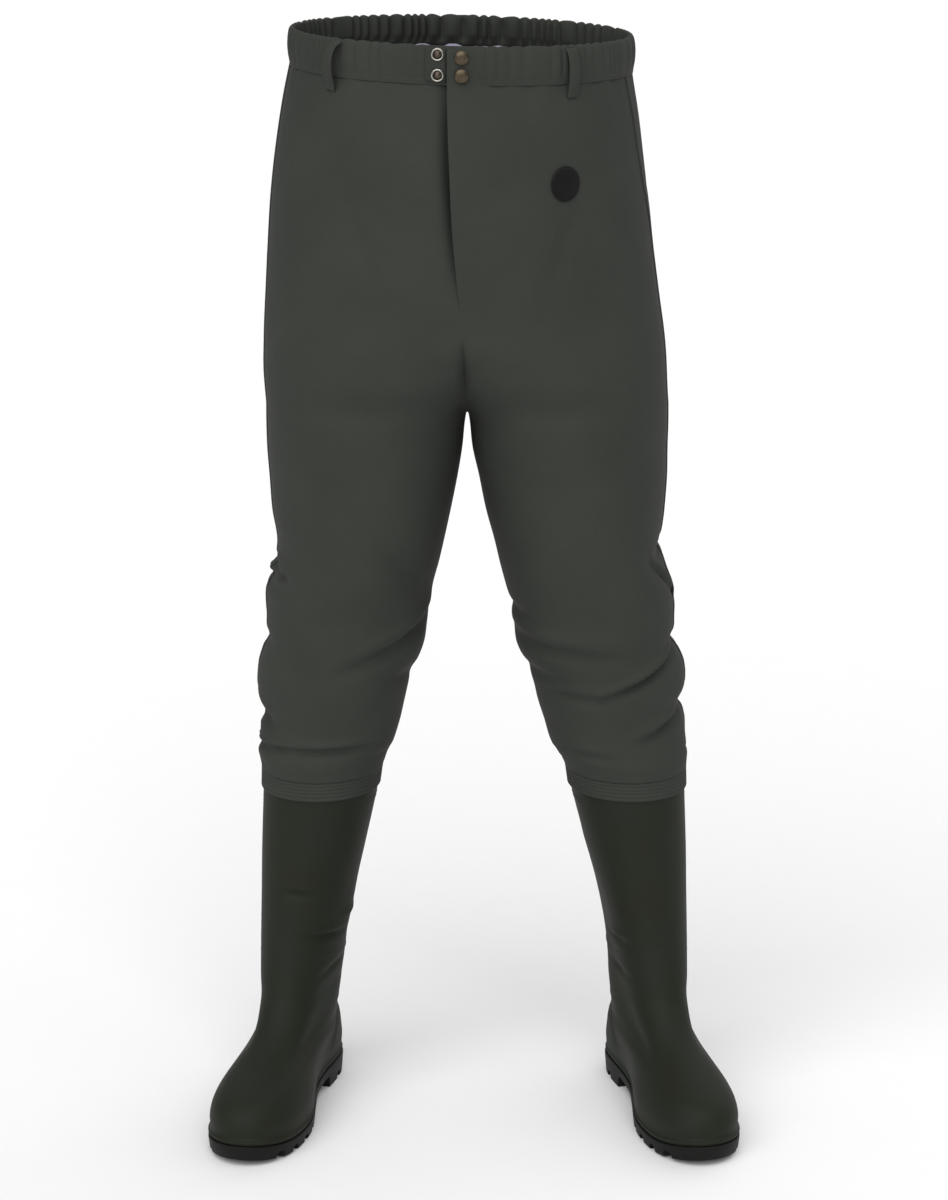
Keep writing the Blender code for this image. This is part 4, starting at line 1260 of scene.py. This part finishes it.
class WADER_OT_press_studs(bpy.types.Operator):
    """Steel press studs on the patch and brass caps on the flap"""
    bl_idname = "wader.press_studs"
    bl_label = "Press studs"
    bl_options = {"REGISTER", "UNDO"}

    def execute(self, context):
        colours = settings(context)[1]
        for place, height in STUD_HEIGHTS.items():
            base, outward = on_band(STUD_X, height, STUD_LIFT)
            add_piece("press_stud_" + place, turned(STUD_PROFILE, base, outward), [steel_finish(colours)],
                      ["snap_stud_" + place])
            # A dark disc paints the shade in the stud's hollow, in the posts' tarnished steel
            hollow_shade_disc = turned(RECESS_PROFILE, base, outward)
            post = turned(POST_PROFILE, base, outward, POST_SEGMENTS)
            add_piece("stud_post_and_shade_disc_" + place, joined((hollow_shade_disc, post)), [recess_shade_and_tarnish_finish(colours)])
        for place, height in CAP_HEIGHTS.items():
            cap = turned(CAP_PROFILE, *on_band(CAP_X, height, CAP_LIFT))
            add_piece("press_cap_" + place, cap, [brass_finish(colours)],
                      ["snap_cap_" + place])
        return {"FINISHED"}


def loop_section():
    """Section of a belt loop: a flat strip with its edges rounded."""
    half, round_off = LOOP_HALF_WIDTH, LOOP_ROUND
    lower = ((-half, round_off), (-half + round_off, 0.0), (half - round_off, 0.0), (half, round_off))
    return [*lower, *((across, LOOP_THICKNESS - out) for across, out in lower[::-1])]


def loop_route(loop):
    """Path of a belt loop, its outward directions and the direction across it."""
    path_up, bowed = resampled(LOOP_PATH, LOOP_STEPS).T
    path_out = mix(np.linspace(LOOP_PATH[0][1], LOOP_PATH[-1][1], LOOP_STEPS), bowed, loop.bow)
    lean = loop.lean * np.linspace(0.0, 1.0, LOOP_STEPS)
    angle = math.radians(loop.degrees)
    base, outward = waist_points(angle, 0.0, 0.0), waist_outward(angle)
    across = np.cross(outward, UP)
    path = base + outward * path_out[:, None] + UP * path_up[:, None] + across * lean[:, None]
    normals = unit(np.cross(across, np.gradient(path, axis=0)))
    return path, normals * np.sign(normals @ outward)[:, None], across


def loop_tacks(path, normals, across):
    """Bar tacks over both ends of a belt loop."""
    reach = np.linspace(-TACK_REACH, TACK_REACH, TACK_POINTS)[:, None]
    tacks = []
    for end in LOOP_TACKS:
        line = path[end] + normals[end] * LOOP_THICKNESS + across * reach * LOOP_HALF_WIDTH
        outward = np.repeat(normals[end][None], TACK_POINTS, axis=0)
        tacks.append(sweep(line, outward, thread_section(TACK_RADIUS)))
    return joined(tacks)


class WADER_OT_belt_loops(bpy.types.Operator):
    """Bowed belt loops with a bar tack at each end"""
    bl_idname = "wader.belt_loops"
    bl_label = "Belt loops"
    bl_options = {"REGISTER", "UNDO"}

    def execute(self, context):
        colours = settings(context)[1]
        for loop in LOOPS:
            path, normals, across = loop_route(loop)
            add_piece("belt_loop_strip_" + loop.place, sweep(path, normals, loop_section()),
                      [cloth_finish(colours)], ["belt_loop_" + loop.place])
            add_piece("loop_tacks_" + loop.place, loop_tacks(path, normals, across),
                      [thread_finish(colours)])
        return {"FINISHED"}


def badge_solid(gather_depth):
    """Oval patch that follows the cloth behind it."""
    angle = full_turn(BADGE_COLUMNS)
    rings = []
    for share, out in BADGE_RINGS:
        x = BADGE_X + share * BADGE_HALF_WIDTH * np.cos(angle)
        z = BADGE_Z + share * BADGE_HALF_HEIGHT * np.sin(angle)
        rings.append(np.stack((x, front_depth(x, z, gather_depth) - out, z), axis=-1))
    return np.array(rings), capped(len(rings), BADGE_COLUMNS)


class WADER_OT_badge(bpy.types.Operator):
    """Plain oval badge patch with a raised rim"""
    bl_idname = "wader.badge"
    bl_label = "Badge"
    bl_options = {"REGISTER", "UNDO"}

    def execute(self, context):
        sizes, colours = settings(context)
        add_piece("badge_patch", badge_solid(sizes.gather_depth), [badge_finish(colours)],
                  ["badge"])
        return {"FINISHED"}


def cuff_solid(side):
    """Ring round the top of a boot, with stitched grooves and a rounded lower edge."""
    heights = np.linspace(CUFF_BOTTOM, CUFF_TOP, CUFF_ROWS)
    grooves = sum(bell((heights - line) / CUFF_LINE_WIDTH) for line in CUFF_LINES)
    outer = CUFF_WALL + CUFF_PROUD * (1.0 - grooves) * ease((heights - CUFF_BOTTOM) / CUFF_EDGE)
    angle = np.radians(leg_angles())
    skin = boot_tube(side, heights, angle, outer[:, None])
    inside = boot_tube(side, heights[::-CUFF_INNER_STEP], angle, CUFF_CLEAR)
    rings = np.concatenate((skin, inside))
    return rings, grid_faces(len(rings), LEG_COLUMNS, wrap_columns=True, wrap_rows=True)


class WADER_OT_cuffs(bpy.types.Operator):
    """Stitched bands that join the legs to the boots"""
    bl_idname = "wader.cuffs"
    bl_label = "Cuffs"
    bl_options = {"REGISTER", "UNDO"}

    def execute(self, context):
        colours = settings(context)[1]
        for word, side in SIDES.items():
            add_piece("cuff_band_" + word, cuff_solid(side), [cloth_finish(colours)],
                      ["leg_cuff_" + word])
        return {"FINISHED"}


def boot_skin(side):
    """Outer skin of a boot from its sole seat to its collar."""
    ring = np.linspace(0, len(BOOT) - 1, BOOT_STEPS * (len(BOOT) - 1) + 1)
    angle = full_turn(BOOT_COLUMNS)
    skin = foot_points(side, *boot_surface(side, ring, angle[None]))
    return skin, grid_faces(len(ring), BOOT_COLUMNS, wrap_columns=True)


def flank_line(side, hand, line):
    """Points and outward directions on a boot's flank along a line drawn in side view."""
    route = resampled(line, LINE_POINTS)
    top = len(BOOT) - 1
    ring = np.full((LINE_POINTS, 1), top / 2.0)
    angle = np.full((LINE_POINTS, 1), math.pi / 2.0)
    steps = np.linspace(-1.0, 1.0, LINE_TRIALS)
    up, across = (grid.reshape(1, -1) for grid in np.meshgrid(steps, steps))
    reach = 1.0
    # Each round tries places about the best one so far, twice as close together as before
    for turn in range(LINE_ROUNDS):
        rings = np.clip(ring + reach * top / 2.0 * up, 0.0, top)
        angles = np.clip(angle + reach * math.pi / 2.0 * across, LINE_END, math.pi - LINE_END)
        along, outward, level = boot_surface(side, rings.ravel(), hand * angles.reshape(-1, 1))
        places = np.stack((along.reshape(rings.shape), level.reshape(rings.shape)), axis=-1)
        gap = ((places - route[:, None]) ** 2).sum(axis=-1)
        best = gap.argmin(axis=1)[:, None]
        ring = np.take_along_axis(rings, best, axis=1)
        angle = np.take_along_axis(angles, best, axis=1)
        reach = reach / 2.0
    spots = [foot_points(side, *boot_surface(side, ring.ravel() + rise, hand * (angle + turn)))[:, 0]
             for rise, turn in ((0.0, 0.0), (LINE_NEAR, 0.0), (0.0, LINE_NEAR))]
    outward = unit(np.cross(spots[2] - spots[0], spots[1] - spots[0])) * side * hand
    return spots[0], outward


def bead_section(sizes):
    """Soft half-round section of a raised line, fading at both ends."""
    slope = [(-across, up) for across, up in BEAD_SLOPE]
    shape = np.array([*slope, (0.0, 1.0), *BEAD_SLOPE[::-1], (0.0, BEAD_ROOT)])
    shape = shape * (sizes.bead_width / 2.0, sizes.bead_height)
    fade = np.sin(math.pi * np.linspace(0.0, 1.0, LINE_POINTS)) ** BEAD_FADE
    section = np.repeat(shape[None], LINE_POINTS, axis=0)
    section[..., 1] += (fade[:, None] - 1.0) * sizes.bead_height
    return section


class WADER_OT_boots(bpy.types.Operator):
    """Moulded boots with their raised mould lines"""
    bl_idname = "wader.boots"
    bl_label = "Boots"
    bl_options = {"REGISTER", "UNDO"}

    def execute(self, context):
        sizes, colours = settings(context)
        for word, side in SIDES.items():
            boot = add_piece("boot_" + word, boot_skin(side), [boot_finish(colours)],
                             ["boot_upper_" + word])
            give_wall(boot, sizes.boot_wall)
            beads = [sweep(*flank_line(side, hand, line), bead_section(sizes))
                     for hand in (1, -1) for line in BOOT_LINES.values()]
            add_piece("boot_mould_lines_" + word, joined(beads), [boot_finish(colours)])
        return {"FINISHED"}


def sole_bottom(along):
    """Height of the tread: flat, then rising at the toe."""
    share = (along - TOE_SPRING_FROM) / (SOLE_LENGTH - TOE_SPRING_FROM)
    return TOE_SPRING * np.clip(share, 0.0, None) ** 2


def plate_ring(side, grow, rise, tread=False):
    """Ring of the foot's outline, at a rise above the sole's upper face or above its tread."""
    angle = full_turn(SOLE_COLUMNS)
    station, along, outward = boot_plan(BOOT[0], angle, grow)
    level = sole_bottom(along) if tread else seat_height(station)
    return foot_points(side, along, outward, level + rise)


def plate(rings):
    """Closed plate between rings, with strips across its two faces."""
    count = SOLE_COLUMNS
    faces = grid_faces(len(rings), count, wrap_columns=True)
    for start in (0, (len(rings) - 1) * count):
        for step in range(count // 2):
            corners = (step, step + 1, (count - step - 1) % count, (count - step) % count)
            faces.append([start + corner for corner in dict.fromkeys(corners)])
    return np.concatenate(rings), faces


def tread_solid(side):
    """Arch hollow and rounded side grooves of the tread, as one solid to cut with."""
    reach = 2.0 * BOOT[0].fore_half
    half = GROOVE_WIDTH / 2.0
    blocks = [(ARCH_HOLLOW, -reach, reach)]
    for middle in HEEL_GROOVES + FOREFOOT_GROOVES:
        top = sole_bottom(middle) + GROOVE_DEPTH
        crown = [(middle + share * half, top - drop) for share, drop in GROOVE_CROWN]
        outline = [(middle - half, -GROOVE_DEPTH), *crown, (middle + half, -GROOVE_DEPTH)]
        blocks += [(outline, hand * GROOVE_INNER, hand * reach) for hand in (-1, 1)]
    solids = []
    for outline, inner, outer in blocks:
        along, level = np.array(outline).T
        ends = [foot_points(side, along, place, level) for place in (inner, outer)]
        solids.append((np.concatenate(ends), capped(2, len(outline))))
    return joined(solids)


def cut_tread(sole, side):
    """Cut of the tread, applied to a sole's mesh."""
    cutter = add_object("tread_cutter", shaped_mesh("tread_cutter", tread_solid(side)))
    cut = sole.modifiers.new("tread", "BOOLEAN")
    cut.object = cutter
    cut.solver = "EXACT"
    shaped = bpy.data.meshes.new_from_object(sole.evaluated_get(bpy.context.evaluated_depsgraph_get()))
    shaped.set_sharp_from_angle(angle=TREAD_SHARP)
    sole.modifiers.clear()
    sole.data = shaped
    bpy.data.objects.remove(cutter, do_unlink=True)


class WADER_OT_soles(bpy.types.Operator):
    """Lugged rubber soles and foam insoles"""
    bl_idname = "wader.soles"
    bl_label = "Soles"
    bl_options = {"REGISTER", "UNDO"}

    def execute(self, context):
        colours = settings(context)[1]
        for word, side in SIDES.items():
            rings = [plate_ring(side, *rim) for rim in SOLE_RIMS]
            sole = add_piece("sole_" + word, plate(rings), [rubber_finish(colours)],
                             ["outsole_" + word])
            cut_tread(sole, side)
            rings = [plate_ring(side, *rim) for rim in INSOLE_RIMS]
            add_piece("insole_" + word + "_sheet", plate(rings), [foam_finish(colours)],
                      ["insole_" + word])
        return {"FINISHED"}


def add_floor(colours):
    """Wide pale floor."""
    corners = [(x, y, 0.0) for x, y in ((-1, -1), (1, -1), (1, 1), (-1, 1))]
    mesh = bpy.data.meshes.new("studio_floor")
    mesh.from_pydata(np.multiply(FLOOR_REACH, corners).tolist(), [], [(0, 1, 2, 3)])
    mesh.materials.append(floor_finish(colours))
    add_object("studio_floor", mesh)


def add_lights():
    """Very wide suns, which light the whole floor evenly and leave only a faint shadow."""
    for light in LIGHTS:
        lamp = bpy.data.lights.new(light.name, "SUN")
        lamp.angle = math.radians(light.spread)
        lamp.energy = light.power
        made = add_object(light.name, lamp)
        made.rotation_euler = Vector(light.source).to_track_quat("Z", "Y").to_euler()


def soft_sky():
    """Sky that gives a weak fill light, but looks as pale as the floor from where it is seen."""
    world = bpy.data.worlds.new("soft_studio")
    world.use_nodes = True
    tree = world.node_tree
    sky = tree.nodes["Background"]
    sky.inputs["Color"].default_value = (1.0, 1.0, 1.0, 1.0)
    seen = add_node(tree, "ShaderNodeLightPath", {}).outputs["Is Camera Ray"]
    strength = add_node(tree, "ShaderNodeMath", {
        0: seen, 1: SKY_SEEN, 2: SKY_FILL}, operation="MULTIPLY_ADD")
    tree.links.new(strength.outputs["Value"], sky.inputs["Strength"])
    return world


def front_camera():
    """Camera a little above the waist, looking down at the front."""
    lens = bpy.data.cameras.new("camera")
    lens.lens = CAMERA_LENS
    made = add_object("camera", lens)
    made.location = CAMERA_PLACE
    made.rotation_euler = (math.radians(90.0 - CAMERA_DOWN), 0.0, 0.0)
    return made


class WADER_OT_stage(bpy.types.Operator):
    """Pale floor, soft studio light and the camera"""
    bl_idname = "wader.stage"
    bl_label = "Stage"
    bl_options = {"REGISTER", "UNDO"}

    def execute(self, context):
        scene = context.scene
        add_floor(scene.wader_colours)
        add_lights()
        scene.world = soft_sky()
        scene.view_settings.view_transform = "Standard"
        scene.camera = front_camera()
        return {"FINISHED"}


PIECES = (WADER_OT_stage, WADER_OT_trousers, WADER_OT_side_tapes, WADER_OT_waistband, WADER_OT_fly,
          WADER_OT_press_studs, WADER_OT_belt_loops, WADER_OT_badge, WADER_OT_cuffs, WADER_OT_boots,
          WADER_OT_soles)


class WADER_PT_panel(bpy.types.Panel):
    """Sizes, colours and pieces of the wader"""
    bl_idname = "WADER_PT_panel"
    bl_label = "Waist wader"
    bl_space_type = "VIEW_3D"
    bl_region_type = "UI"
    bl_category = "Wader"

    def draw(self, context):
        for group in (context.scene.wader_sizes, context.scene.wader_colours):
            column = self.layout.column(align=True)
            for name in group.bl_rna.properties.keys():
                if name not in ("rna_type", "name"):
                    column.prop(group, name)
        for piece in PIECES:
            self.layout.operator(piece.bl_idname)


CLASSES = (WaderSizes, WaderColours, *PIECES, WADER_PT_panel)


def register():
    for made in CLASSES:
        bpy.utils.register_class(made)
    bpy.types.Scene.wader_sizes = bpy.props.PointerProperty(type=WaderSizes)
    bpy.types.Scene.wader_colours = bpy.props.PointerProperty(type=WaderColours)


def unregister():
    del bpy.types.Scene.wader_colours
    del bpy.types.Scene.wader_sizes
    for made in reversed(CLASSES):
        bpy.utils.unregister_class(made)


def main():
    register()
    for piece in PIECES:
        group, name = piece.bl_idname.split(".")
        getattr(getattr(bpy.ops, group), name)()


if __name__ == "__main__":
    main()
